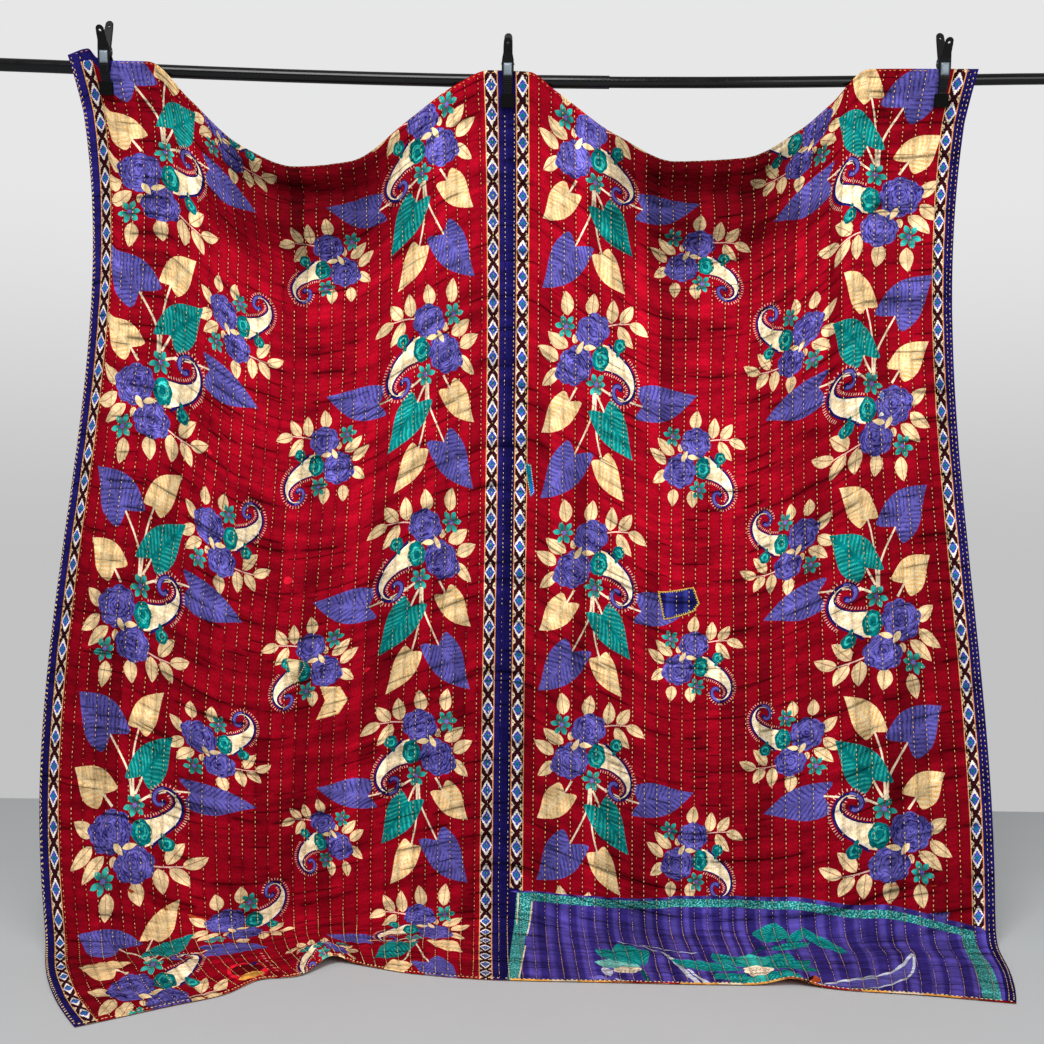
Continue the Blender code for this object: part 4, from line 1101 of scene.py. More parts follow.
def quilted_cotton(tree, shader, flat):
    """What both cloths share. Heights in metres: two crossed sets of threads, crumples that pull across the
    rows of stitching, puckers at the stitches and level creases, which are triangle waves of the place
    down plus soft noise, kept where a second noise is high. Returns the tone: 1 where the cloth is
    evenly coloured, changing from channel to channel, with painted shade in the creases, along the rows
    and under the swags, and painted shade low down and at the outer sides."""
    place = add(tree, "SeparateXYZ", flat)
    down = place.node.outputs[1]
    start = maths(tree, "MULTIPLY_ADD", maths(tree, "GREATER_THAN", place, 0.0),
                  ROW_START[1] - ROW_START[-1], ROW_START[-1])
    row = maths(tree, "MULTIPLY", maths(tree, "SUBTRACT", maths(tree, "ABSOLUTE", place), start),
                STITCH_ROWS / QUILT_WIDTH)
    near = ramp(tree, triangle_wave(tree, row), 0.50, 1.0)
    creases = 0.0
    for pitch, across in ((0.043, 2.1), (0.071, 2.6), (0.113, 3.1)):
        wander = stretched(tree, flat, across, 1.2)
        wave = triangle_wave(tree, maths(tree, "MULTIPLY_ADD", wander, 0.05 / pitch,
                                         maths(tree, "DIVIDE", down, pitch)))
        kept = ramp(tree, stretched(tree, flat, 8.5, 0.75 / pitch, 1.0), 0.50, 0.63)
        sharp = maths(tree, "MULTIPLY_ADD", ramp(tree, wave, 0.60, 0.98), 0.35,
                      maths(tree, "MULTIPLY", ramp(tree, wave, 0.90, 0.985), 0.65))
        creases = maths(tree, "MAXIMUM", creases, maths(tree, "MULTIPLY", kept, sharp))
    # Mask of the swag tops: painted shade darkens the colour there, and the crumples are stronger there.
    aside = maths(tree, "DIVIDE", maths(tree, "SUBTRACT", maths(tree, "ABSOLUTE", place), 0.53), 0.34)
    painted_swag_shade = maths(tree, "MULTIPLY", ramp(tree, maths(tree, "MULTIPLY", aside, aside), 1.0, 0.0),
                 ramp(tree, down, 0.42, 0.06))
    warp = stretched(tree, flat, 1500.0, 90.0)
    weft = stretched(tree, flat, 90.0, 1500.0)
    crumple = stretched(tree, flat, 13.0, 78.0, 3.0)
    patchy = maths(tree, "MAXIMUM", ramp(tree, stretched(tree, flat, 4.0, 6.0, 1.0), 0.36, 0.62),
                   maths(tree, "MULTIPLY", painted_swag_shade, 1.6))
    beat = triangle_wave(tree, maths(tree, "ADD", maths(tree, "DIVIDE", down, 0.0115),
                                     maths(tree, "MULTIPLY", row, 0.37)))
    height = maths(tree, "MULTIPLY", maths(tree, "ADD", warp, weft), 0.00022)
    height = maths(tree, "MULTIPLY_ADD", crumple, maths(tree, "MULTIPLY_ADD", patchy, 0.0034, 0.0012),
                   height)
    height = maths(tree, "MULTIPLY_ADD", maths(tree, "MULTIPLY", near, beat), 0.0007, height)
    height = maths(tree, "MULTIPLY_ADD", creases, -0.0016, height)
    bump = add(tree, "Bump", 0.90, 1.0)
    tree.links.new(height, bump.node.inputs["Height"])
    tree.links.new(bump, shader.inputs["Normal"])
    channel = add(tree, "CombineXYZ", maths(tree, "MULTIPLY", maths(tree, "FLOOR", row), 3.71),
                  maths(tree, "MULTIPLY", down, 1.6), place)
    channel = add(tree, "TexNoise", channel, None, 1.0, 1.0)
    tone = maths(tree, "MULTIPLY_ADD", channel, 1.60, 0.21)
    slub = maths(tree, "ADD", stretched(tree, flat, 900.0, 34.0), stretched(tree, flat, 30.0, 700.0))
    tone = maths(tree, "MULTIPLY", tone, maths(tree, "MULTIPLY_ADD", slub, 0.60, 0.40))
    tone = maths(tree, "MULTIPLY", tone,
                 maths(tree, "MULTIPLY_ADD", stretched(tree, flat, 330.0, 210.0), 1.1, 0.45))
    cloudy = maths(tree, "MULTIPLY_ADD", stretched(tree, flat, 7.0, 34.0, 4.0), 1.9, 0.06)
    # Painted shade under the swags.
    cloudy = maths(tree, "MULTIPLY", cloudy, maths(tree, "MULTIPLY_ADD", painted_swag_shade, -0.66, 1.0))
    tone = maths(tree, "MULTIPLY", tone, cloudy)
    # Painted shade: darker low down and at the outer sides.
    tone = maths(tree, "MULTIPLY", tone,
                 maths(tree, "MULTIPLY_ADD", ramp(tree, down, 0.85, 1.65), -0.12, 1.03))
    tone = maths(tree, "MULTIPLY", tone,
                 maths(tree, "MULTIPLY_ADD", ramp(tree, maths(tree, "ABSOLUTE", place), 0.76, 0.96), -0.08,
                       1.0))
    # Painted shade along the rows of stitching and in the creases.
    tone = maths(tree, "MULTIPLY", tone, maths(tree, "MULTIPLY_ADD", near, -0.32, 1.08))
    return maths(tree, "MULTIPLY", tone, maths(tree, "MULTIPLY_ADD", creases, -0.76, 1.07))


def printed_cotton(name, inks):
    """Printed quilting cotton. Ink and line colours come with each face; the kind of print drawn on it, and
    its own axes, come with its corners. The ground carries painted shade: brightest in the middle, about
    a fifth of the way down, and darker near the top, low down and at the outer sides."""
    made, tree, shader = new_material(name, 0.90, Specular_IOR_Level=0.03)
    attribute = {key: add(tree, "Attribute", attribute_name=key, out=index)
                 for key, index in (("flat", 1), ("chart", 1), ("ink", 0), ("line", 0))}
    flat = attribute["flat"]
    tone = quilted_cotton(tree, shader, flat)
    shake = add(tree, "TexNoise", flat, None, 160.0, 2.0, out=1)
    shake = add(tree, "VectorMath", shake, (0.5, 0.5, 0.5), operation="SUBTRACT")
    shake = add(tree, "VectorMath", shake, (0.0024, 0.0024, 0.0), operation="MULTIPLY")
    chart = add(tree, "VectorMath", attribute["chart"], shake, operation="ADD")
    x = add(tree, "SeparateXYZ", chart)
    y, kind = x.node.outputs[1], x.node.outputs[2]
    side = maths(tree, "ABSOLUTE", y)
    mottle = ramp(tree, add(tree, "TexNoise", flat, None, 95.0, 3.0), 0.40, 0.66)

    def only(number):
        return maths(tree, "COMPARE", kind, float(number), 0.4)

    rib = maths(tree, "MULTIPLY", ramp(tree, side, 0.0016, 0.0004), 0.78)
    edge = maths(tree, "MULTIPLY", ramp(tree, side, 0.006, 0.020), 0.22)
    leaf_lines = maths(tree, "MAXIMUM", rib, maths(tree, "MULTIPLY_ADD", mottle, 0.10, edge))
    veins = maths(tree, "MULTIPLY_ADD", maths(tree, "MULTIPLY", side, side), 5.0,
                  maths(tree, "MULTIPLY_ADD", side, -1.12, x))
    uneven = add(tree, "TexNoise", flat, None, 40.0, 2.0)
    veins = triangle_wave(tree, maths(tree, "MULTIPLY_ADD", uneven, 0.9,
                                      maths(tree, "DIVIDE", veins, 0.0135)))
    heart_lines = maths(tree, "MULTIPLY", ramp(tree, veins, 0.28, 0.92),
                        maths(tree, "MULTIPLY_ADD", mottle, 0.42, 0.46))
    heart_lines = maths(tree, "MULTIPLY", heart_lines, ramp(tree, side, 0.0012, 0.0075))
    reach = maths(tree, "SQRT", maths(tree, "MULTIPLY_ADD", x, x, maths(tree, "MULTIPLY", y, y)))
    folds = add(tree, "TexNoise", flat, None, 48.0, 2.0)
    rings = maths(tree, "MULTIPLY_ADD", folds, 3.4, maths(tree, "DIVIDE", reach, 0.0090))
    rose_lines = maths(tree, "MULTIPLY", ramp(tree, triangle_wave(tree, rings), 0.40, 0.97), 0.78)
    rose_lines = maths(tree, "MULTIPLY_ADD", mottle, -0.24, maths(tree, "ADD", rose_lines, 0.10))
    blotch = ramp(tree, add(tree, "TexNoise", flat, None, 30.0, 2.0), 0.44, 0.62)
    rose_lines = maths(tree, "MULTIPLY_ADD", blotch, 0.42, rose_lines)
    stripe = add(tree, "SeparateXYZ", flat)
    stripe = maths(tree, "MULTIPLY_ADD", stretched(tree, flat, 17.0, 0.4), 1.6,
                   maths(tree, "DIVIDE", stripe, 0.0445))
    stripe = maths(tree, "MULTIPLY", ramp(tree, triangle_wave(tree, stripe), 0.18, 0.70), 0.85)
    speck = ramp(tree, add(tree, "TexNoise", flat, None, 230.0, 1.0), 0.50, 0.60)
    petal = maths(tree, "MULTIPLY", ramp(tree, x, 0.024, 0.002), 0.85)
    total = maths(tree, "MULTIPLY", only(LEAF), leaf_lines)
    for number, lines in ((HEART, heart_lines), (ROSE, rose_lines), (STRIPES, stripe), (SPECKLE, speck),
                          (PETAL, petal)):
        total = maths(tree, "MULTIPLY_ADD", only(number), lines, total)
    colour = blend(tree, total, attribute["ink"], attribute["line"])

    step = 0.0021
    snapped = [maths(tree, "ADD", maths(tree, "SNAP", value, step), step / 2)
               for value in (maths(tree, "ABSOLUTE", x), y)]
    u = maths(tree, "DIVIDE", snapped[0],
              maths(tree, "MULTIPLY_ADD", only(OUTER_STRIP), (OUTER_WIDTH - STRIP_WIDTH) / 2,
                    STRIP_WIDTH / 2))
    part = maths(tree, "FRACT", maths(tree, "DIVIDE", snapped[1], STRIP_PITCH))
    w = maths(tree, "SUBTRACT", 1.0, maths(tree, "ABSOLUTE", maths(tree, "MULTIPLY_ADD", part, 2.0, -1.0)))
    strip = (*inks["maroon"], 1)
    white = maths(tree, "GREATER_THAN", maths(tree, "MULTIPLY_ADD", u, -0.76, w), 0.22)
    strip = blend(tree, white, strip, (*inks["white"], 1))
    side_triangle = maths(tree, "GREATER_THAN", maths(tree, "MULTIPLY_ADD", u, 0.56, -0.26), w)
    strip = blend(tree, side_triangle, strip, (*inks["strip_cream"], 1))
    diamond = maths(tree, "ADD", maths(tree, "DIVIDE", u, 0.84),
                    maths(tree, "DIVIDE", maths(tree, "SUBTRACT", 1.0, w), 0.48))
    for size, ink in ((1.0, "lozenge"), (0.60, "sky"), (0.42, "teal")):
        strip = blend(tree, maths(tree, "LESS_THAN", diamond, size), strip, (*inks[ink], 1))
    dot_across = maths(tree, "MULTIPLY", maths(tree, "SUBTRACT", u, 0.92), STRIP_WIDTH / 2)
    dot_down = maths(tree, "MULTIPLY", w, STRIP_PITCH / 2)
    dot = maths(tree, "SQRT", maths(tree, "MULTIPLY_ADD", dot_across, dot_across,
                                    maths(tree, "MULTIPLY", dot_down, dot_down)))
    strip = blend(tree, ramp(tree, dot, 0.0030, 0.0020), strip, (*inks["grey_green"], 1))
    colour = blend(tree, maths(tree, "ADD", only(STRIP), only(OUTER_STRIP)), colour, strip)

    worn = ramp(tree, add(tree, "TexNoise", flat, None, 380.0, 4.0), 0.58, 0.78)
    colour = blend(tree, maths(tree, "MULTIPLY", worn, 0.03), colour, (0.80, 0.72, 0.66, 1))
    bright = maths(tree, "MULTIPLY", tone,
                   maths(tree, "MULTIPLY_ADD", maths(tree, "MULTIPLY", mottle, only(ROSE)), 0.35, 1.0))
    place = add(tree, "SeparateXYZ", flat)
    down = place.node.outputs[1]
    # Painted shade on the ground only: darker low down, at the outer sides and near the top under the
    # swags.
    painted_shade = 1.0
    for value, low, high, loss in ((down, 0.70, 1.45, 0.20),
                                   (maths(tree, "ABSOLUTE", place), 0.74, 0.97, 0.15),
                                   (down, 0.34, 0.10, 0.15)):
        painted_shade = maths(tree, "MULTIPLY", painted_shade,
                      maths(tree, "MULTIPLY_ADD", ramp(tree, value, low, high), -loss, 1.0))
    bright = blend(tree, only(GROUND), add(tree, "CombineXYZ", bright, bright, bright),
                   add(tree, "CombineXYZ", *(maths(tree, "MULTIPLY", bright, painted_shade),) * 3))
    colour = blend(tree, 1.0, colour, bright, "MULTIPLY")
    tree.links.new(colour, shader.inputs["Base Color"])
    return made


def plain_cotton(name):
    """Plain woven backing cotton in the ink of its faces, faded in clouds."""
    made, tree, shader = new_material(name, 0.92, Specular_IOR_Level=0.03)
    flat = add(tree, "Attribute", attribute_name="flat", out=1)
    ink = add(tree, "Attribute", attribute_name="ink")
    line = add(tree, "Attribute", attribute_name="line")
    # The tone carries the painted shade of the quilting.
    tone = quilted_cotton(tree, shader, flat)
    cloudy = ramp(tree, add(tree, "TexNoise", flat, None, 7.0, 4.0), 0.35, 0.70)
    colour = blend(tree, maths(tree, "MULTIPLY", cloudy, 0.6), ink, line)
    colour = blend(tree, 1.0, colour, add(tree, "CombineXYZ", tone, tone, tone), "MULTIPLY")
    tree.links.new(colour, shader.inputs["Base Color"])
    return made


def sewing_thread(name):
    """Two-ply cotton thread: the stitch's own ink, a little darker in the twist."""
    made, tree, shader = new_material(name, 0.72, Sheen_Weight=0.1, Specular_IOR_Level=0.25)
    ink = add(tree, "Attribute", attribute_name="ink")
    place = add(tree, "TexCoord", out=3)
    ply = add(tree, "TexNoise", place, None, 1400.0, 1.0)
    tone = maths(tree, "MULTIPLY_ADD", ply, 0.5, 0.84)
    colour = blend(tree, 1.0, ink, add(tree, "CombineXYZ", tone, tone, tone), "MULTIPLY")
    tree.links.new(colour, shader.inputs["Base Color"])
    return made


def moulded(name, colour, roughness, grain, depth, scuff=0.0, **fixed):
    """Moulded or coated stock: colour clouded a little, fine grain in the bump, roughness that varies, and
    pale scuffs."""
    made, tree, shader = new_material(name, roughness, **fixed)
    place = add(tree, "TexCoord", out=3)
    cloud = add(tree, "TexNoise", place, None, 35.0, 4.0)
    fine = add(tree, "TexNoise", place, None, grain, 3.0)
    marks = ramp(tree, stretched(tree, place, 260.0, 900.0, 4.0), 0.66, 0.78)
    base = blend(tree, cloud, (*[c * 0.75 for c in colour], 1), (*[min(c * 1.3, 1) for c in colour], 1))
    base = blend(tree, maths(tree, "MULTIPLY", marks, scuff), base, (0.30, 0.30, 0.30, 1))
    tree.links.new(base, shader.inputs["Base Color"])
    rough = maths(tree, "MULTIPLY_ADD", cloud, 0.22, roughness - 0.11)
    tree.links.new(maths(tree, "MULTIPLY_ADD", marks, 0.12, rough), shader.inputs["Roughness"])
    bump = add(tree, "Bump", 0.6, 1.0)
    tree.links.new(maths(tree, "MULTIPLY", fine, depth), bump.node.inputs["Height"])
    tree.links.new(bump, shader.inputs["Normal"])
    return made


# ---- patches, clamps and their parts ---------------------------------------------------
# A patch: side of the seam, its outline on the flat cloth, ink, line ink, kind, ink of its
# sewing, and whether a cord is couched round it.
PATCHES = {
    "darning_patch": (1, [(0.400, 1.090), (0.440, 1.080), (0.490, 1.070), (0.505, 1.110), (0.490, 1.130),
                          (0.415, 1.155)],
                      "patch_blue", "navy_dark", STRIPES, "thread_yellow", True),
    "seam_sliver": (1, [(0.050, 0.935), (0.065, 0.935), (0.075, 1.000), (0.065, 1.015)],
                    "bright_blue", "teal", STRIPES, "thread_gold", False),
    "print_scrap": (-1, [(0.460, 1.350), (0.410, 1.360), (0.390, 1.400), (0.410, 1.430), (0.465, 1.435),
                         (0.445, 1.390)],
                    "cream", "ochre", HEART, "thread", False),
    "print_fleck": (-1, [(0.550, 1.265), (0.505, 1.275), (0.500, 1.290), (0.525, 1.335), (0.535, 1.310)],
                    "teal_dark", "cream", STRIPES, "thread", False),
    "edge_scrap": (1, [(0.980, 0.750), (0.990, 0.760), (0.985, 0.775), (0.975, 0.765)],
                   "pale_blue", "sky", STRIPES, "thread", False),
}


def evenly(outline, count):
    """That many places round a loop, an even distance apart, and the way the loop runs at each."""
    outline = np.asarray(outline, float)
    closed = np.concatenate([outline, outline[:1]])
    run = np.concatenate([[0], np.cumsum(np.linalg.norm(np.diff(closed, axis=0), axis=1))])
    at = (np.arange(count) + 0.5) / count * run[-1]
    leg = np.searchsorted(run, at, side="right") - 1
    way = (closed[leg + 1] - closed[leg]) / (run[leg + 1] - run[leg])[:, None]
    return closed[leg] + (at - run[leg])[:, None] * way, way, run[-1]


def make_patch(name, patch, cloth, inks, finish):
    """A thin sewn-on sheet: rings from its middle to its outline, laid on the quilt's front, raised by its
    own thickness and rounded down at its edge, with a sunk underside."""
    side, outline, ink, line, kind = patch[:5]
    rings, count = 13, 64
    edge, _, _ = evenly(outline, count)
    centre = np.mean(outline, axis=0)
    share = np.linspace(0, 1, rings + 1)[1:]
    places = np.concatenate([[centre], (centre + share[:, None, None] * (edge - centre)).reshape(-1, 2)])
    reach = np.concatenate([[0.0], np.repeat(share, count)])
    s, v = side * places[:, 0], places[:, 1]
    base = cloth_layer(s, v, 1, cloth.channel_depth)
    out = layer_normals(s, v, 1, cloth.channel_depth)
    lift = 0.0011 * np.sqrt(np.clip(1 - reach ** 14, 0,
                                    1)) + 0.0004 * value_noise(s / 0.012, v / 0.009, 41) * (1 - reach ** 6)
    points = np.concatenate([base + (lift + 0.0002)[:, None] * out, base - 0.0003 * out])
    at = np.arange(rings * count).reshape(rings, count) + 1
    after = np.roll(at, -1, 1)
    fan = np.stack([0 * at[0], at[0], after[0]], -1)
    near, far = (np.stack(corners, -1).reshape(-1, 3) for corners in (
        (at[:-1], at[1:], after[1:]), (at[:-1], after[1:], after[:-1])))
    facing = np.concatenate([fan, near, far])
    a, b = places[facing[:, 1]] - places[facing[:, 0]], places[facing[:, 2]] - places[facing[:, 0]]
    outward = side * (a[:, 0] * b[:, 1] - a[:, 1] * b[:, 0]) < 0
    if outward.mean() < 0.5:
        facing = facing[:, ::-1]
        at, after = after, at
    behind = facing[:, ::-1] + len(places)
    a, b = at[-1], after[-1]
    rim = np.concatenate([np.stack([b, a, a + len(places)], -1),
                          np.stack([b, a + len(places), b + len(places)], -1)])
    made = new_piece(name, points, np.concatenate([facing, behind, rim]), [finish])
    for key, colour in (("ink", inks[ink]), ("line", inks[line])):
        put_attribute(made.data, key, "FLOAT_COLOR", "POINT", np.tile((*colour, 1.0), (2 * len(places), 1)))
    flat = np.column_stack([s, v, 0 * s])
    chart = np.column_stack([v - np.min(outline, axis=0)[1], places[:, 0] - centre[0],
                             np.full(len(s), float(kind))])
    put_attribute(made.data, "flat", "FLOAT_VECTOR", "POINT", np.concatenate([flat, flat]))
    put_attribute(made.data, "chart", "FLOAT_VECTOR", "POINT", np.concatenate([chart, chart]))
    return made


def patch_sewing(patch, rng):
    """Stitches round a patch: a couched cord with short stitches inward, or a running stitch just inside
    the edge."""
    side, outline, ink, corded = patch[0], np.asarray(patch[1]), patch[5], patch[6]
    length = evenly(outline, 8)[2]
    centre = outline.mean(0)
    if not corded:
        at, way, _ = evenly(centre + 0.90 * (outline - centre), int(length / 0.0062))
        return [(side * at[:, 0], at[:, 1], (side * way[:, 0], way[:, 1]),
                 0.0042 * rng.uniform(0.85, 1.2, len(at)), 1, ink, 2, 0.0008)]
    at, way, _ = evenly(outline, int(length / 0.0026))
    groups = [(side * at[:, 0], at[:, 1], (side * way[:, 0], way[:, 1]),
               0.0052 * rng.uniform(0.9, 1.15, len(at)), 1, ink, 2, 0.0009)]
    at, way, _ = evenly(outline, int(length / 0.0065))
    inward = centre - at
    inward = inward / np.linalg.norm(inward, axis=1, keepdims=True)
    at = at + 0.0022 * inward
    groups.append((side * at[:, 0], at[:, 1], (side * inward[:, 0], inward[:, 1]),
                   0.0056 * rng.uniform(0.7, 1.2, len(at)), 1, ink, 2, 0.0009))
    for across in (0.447, 0.479):
        v = np.arange(1.082, 1.146, 0.0115)
        groups.append((side * across + 0 * v, v, (0, 1), 0.0062 + 0 * v, 1, "thread", 2, 0.0009))
    return groups


FRONT_FACE = np.array([(0.026, 0.0135), (0.044, 0.0155), (0.063, 0.0142), (0.078, 0.0115), (0.089, 0.0130),
                       (0.101, 0.0178), (0.116, 0.0252), (0.1265, 0.0306)])


def clamp_to_world(which, points):
    """A clamp's own plane (across, forward, up the clamp) leant by its tilt and moved to its place on the
    rod."""
    place = CLAMP_PLACES[which]
    seat = CLAMP_SEAT if place > STEP_X else 0.0
    c, s = math.cos(CLAMP_TILT), math.sin(CLAMP_TILT)
    across, forward, up = np.moveaxis(np.asarray(points), -1, 0)
    return np.stack([MIDDLE + place + across, -PAD_FORWARD - c * forward - s * up,
                     float(rod_height(place)) - PAD_BELOW - seat - s * forward + c * up], -1)


def raised_pad(which, low, high, width, rise, square, across=0.0):
    """A low pillow on the front arm's outer face: height is the rise times (1 - |a|^n)(1 - |b|^n), with a
    flat underside sunk in the arm."""
    steps_a, steps_b = 15, 13
    a, b = np.meshgrid(np.linspace(-1, 1, steps_a), np.linspace(-1, 1, steps_b))
    up = (low + high) / 2 + b * (high - low) / 2
    face = np.interp(up, FRONT_FACE[:, 0], FRONT_FACE[:, 1])
    height = rise * ((1 - np.abs(a) ** square) * (1 - np.abs(b) ** square)) ** 0.5
    top = np.stack([across + a * width / 2, face + height, up], -1)
    under = np.stack([across + a * width / 2, face - 0.0012 + 0 * a, up], -1)
    at = np.arange(a.size).reshape(a.shape)
    i, j, k, m = at[:-1, :-1], at[:-1, 1:], at[1:, 1:], at[1:, :-1]
    facing = np.stack([i, j, k, m], -1).reshape(-1, 4)
    behind = facing[:, ::-1] + a.size
    rim = np.concatenate([at[0, :-1], at[:-1, -1], at[-1, :0:-1], at[:0:-1, 0]])
    after = np.roll(rim, -1)
    edge = np.stack([after, rim, rim + a.size, after + a.size], -1)
    points = clamp_to_world(which, np.concatenate([top.reshape(-1, 3), under.reshape(-1, 3)]))
    return points, np.concatenate([facing, behind, edge])


def joined(parts):
    points, faces, first = [], [], 0
    for some, their in parts:
        points.append(some)
        faces.append(their + first)
        first += len(some)
    return np.concatenate(points), np.concatenate(faces)


def dress(material, *names):
    """Gives carried-over nodes a finish through their objects' own slots."""
    for name in names:
        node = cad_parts[name]
        for slot in node.material_slots:
            slot.link = "OBJECT"
            slot.material = material


# ---- settings --------------------------------------------------------------------------
def colour(label, text, *screen):
    return FloatVectorProperty(name=label, description=text, subtype="COLOR", size=3, min=0, max=1,
                               default=linear(*screen))


class KanthaCloth(bpy.types.PropertyGroup):
    columns_per_channel: IntProperty(name="Columns per channel",
                                     description="Columns of points between two rows of stitching",
                                     default=4, min=2, max=8)
    row_spacing: FloatProperty(name="Row spacing",
                               description="Distance between rows of points down the cloth", default=0.0084,
                               min=0.003, max=0.02, unit="LENGTH")
    channel_depth: FloatProperty(name="Channel depth",
                                 description="How far the cloth puffs up between two rows of stitching",
                                 default=0.0024, min=0.0, max=0.006, unit="LENGTH")


class KanthaThread(bpy.types.PropertyGroup):
    stitch_pitch: FloatProperty(name="Stitch pitch",
                                description="From the start of one running stitch to the next",
                                default=0.0112, min=0.006, max=0.03, unit="LENGTH")
    stitch_length: FloatProperty(name="Stitch length",
                                 description="Thread that shows in one running stitch", default=0.0060,
                                 min=0.002, max=0.015, unit="LENGTH")
    thread_width: FloatProperty(name="Thread width", description="Width of the thread where it shows",
                                default=0.0024, min=0.0005, max=0.004, unit="LENGTH")
    edge_pitch: FloatProperty(name="Edge pitch",
                              description="Pitch of the closer stitching along the edges", default=0.0085,
                              min=0.004, max=0.02, unit="LENGTH")
    channel_depth: FloatProperty(name="Channel depth",
                                 description="The cloth's channel depth, so that stitches lie on it",
                                 default=0.0024, min=0.0, max=0.006, unit="LENGTH")


class KanthaInks(bpy.types.PropertyGroup):
    red: colour("Field red", "Ground of both widths", 157, 5, 28)
    red_dark: colour("Dark red", "Shaded red in the ground", 104, 3, 16)
    red_deep: colour("Deep red", "Mended place near the hem", 96, 4, 14)
    red_bright: colour("Bright red", "Unfaded specks and the rim of the worn opening", 222, 26, 50)
    navy: colour("Border blue", "Outer band, selvedges and outlines", 29, 23, 88)
    navy_dark: colour("Dark border blue", "Right width's selvedge and stripes of the darning patch", 21, 16,
                      74)
    violet: colour("Violet", "Roses and violet leaves", 95, 88, 166)
    violet_light: colour("Light violet", "Inner petals", 108, 100, 182)
    violet_line: colour("Violet line", "Lines in the violet print", 34, 28, 92)
    patch_blue: colour("Patch blue", "Darning patch", 56, 58, 146)
    lozenge: colour("Lozenge violet", "Edge of the diamonds in the border strips", 66, 60, 164)
    horn_cream: colour("Horn cream", "Curled horns", 242, 222, 188)
    teal: colour("Teal", "Teal leaves, buds and stars", 0, 116, 116)
    teal_light: colour("Light teal", "Petals of the stars", 56, 182, 168)
    teal_dark: colour("Dark teal", "Lines in the teal print", 0, 74, 84)
    teal_pale: colour("Pale teal", "Ribs and specks in the teal print", 122, 200, 188)
    cream: colour("Cream", "Cream leaves, horns and stems", 244, 214, 162)
    ochre: colour("Ochre", "Veins of the cream leaves", 240, 170, 74)
    edge_line: colour("Edge line", "Line between the blue bands and the border strips", 226, 150, 92)
    peach: colour("Peach", "Line between the border strips and the red field", 232, 170, 112)
    sepia: colour("Sepia", "Ribs of the small cream leaves", 168, 84, 56)
    pink: colour("Pink", "Beads round the horns and fine stems", 244, 196, 180)
    sky: colour("Lozenge blue", "Diamonds in the border strips", 70, 104, 196)
    grey_green: colour("Grey green", "Dots of the border strips", 90, 130, 110)
    white: colour("Lozenge white", "White round the diamonds", 240, 234, 222)
    strip_cream: colour("Strip cream", "Side triangles of the border strips", 236, 214, 178)
    maroon: colour("Maroon", "Chevrons of the border strips", 50, 12, 22)
    panel: colour("Panel violet", "Ground of the end panel", 82, 68, 154)
    panel_dark: colour("Dark panel violet", "Stripes of the end panel", 42, 30, 102)
    feather: colour("Feather white", "Pale lines in the end panel", 200, 205, 215)
    bright_blue: colour("Bright blue", "Sliver by the seam", 30, 100, 210)
    pale_blue: colour("Pale blue", "Scrap near the outer edge", 150, 180, 225)
    backing: colour("Backing", "Plain cloth of the back", 186, 78, 36)
    backing_dark: colour("Dark backing", "Unfaded parts of the back", 140, 48, 24)
    thread: colour("Thread", "Running stitches", 252, 220, 146)
    thread_pale: colour("Pale thread", "Running stitches of the end panel", 222, 176, 140)
    thread_gold: colour("Gold thread", "Stitches along the blue edges", 246, 218, 156)
    thread_yellow: colour("Yellow thread", "Sewing of the darning patch", 236, 214, 90)
    thread_pink: colour("Pink thread", "Mending beside the worn opening", 240, 150, 140)


class KanthaHardware(bpy.types.PropertyGroup):
    tube: colour("Tube", "Coated rod", 13, 13, 15)
    nylon: colour("Nylon", "Clamp arms", 13, 13, 15)
    # The hinge plate's grey is painted highlight: it stands for the shine on each pivot; the raised plate
    # itself is real.
    painted_hinge_highlight: colour("Hinge plate", "Grey plate over each pivot", 126, 138, 148)
    rubber: colour("Rubber", "Clamp pads", 8, 8, 9)
    steel: colour("Steel", "Pins and springs", 170, 172, 176)


class KanthaStage(bpy.types.PropertyGroup):
    floor: colour("Floor", "Plain pale floor", 199, 203, 204)
    wall: colour("Surroundings", "Plain pale surroundings", 231, 231, 232)
    ambient: FloatProperty(name="Ambient light",
                           description="Share of the surroundings' brightness that lights the quilt",
                           default=0.40, min=0.0, max=1.0)
    key_power: FloatProperty(name="Key light", description="Power of the large soft light", default=230.0,
                             min=0.0, unit="POWER")
    fill_power: FloatProperty(name="Fill light", description="Power of the light from the other side",
                              default=70.0, min=0.0, unit="POWER")
    floor_depth: FloatProperty(name="Floor behind the rod",
                               description="How far the floor goes on behind the rod", default=1.22,
                               min=0.5, unit="LENGTH")
    camera_distance: FloatProperty(name="Camera distance", description="From the rod to the camera",
                                   default=3.0, min=1.0, unit="LENGTH")
    camera_height: FloatProperty(name="Camera height",
                                 description="Height of the camera over the rod's ends", default=-1.054,
                                 unit="LENGTH")
    lens: FloatProperty(name="Lens", description="Focal length on a sensor 36 mm wide", default=44.28,
                        min=20.0)
    roll: FloatProperty(name="Roll", description="How far the camera leans to its left",
                        default=math.radians(0.77), subtype="ANGLE")


def ink_table(inks):
    return {key: tuple(getattr(inks, key)) for key in KanthaInks.__annotations__}


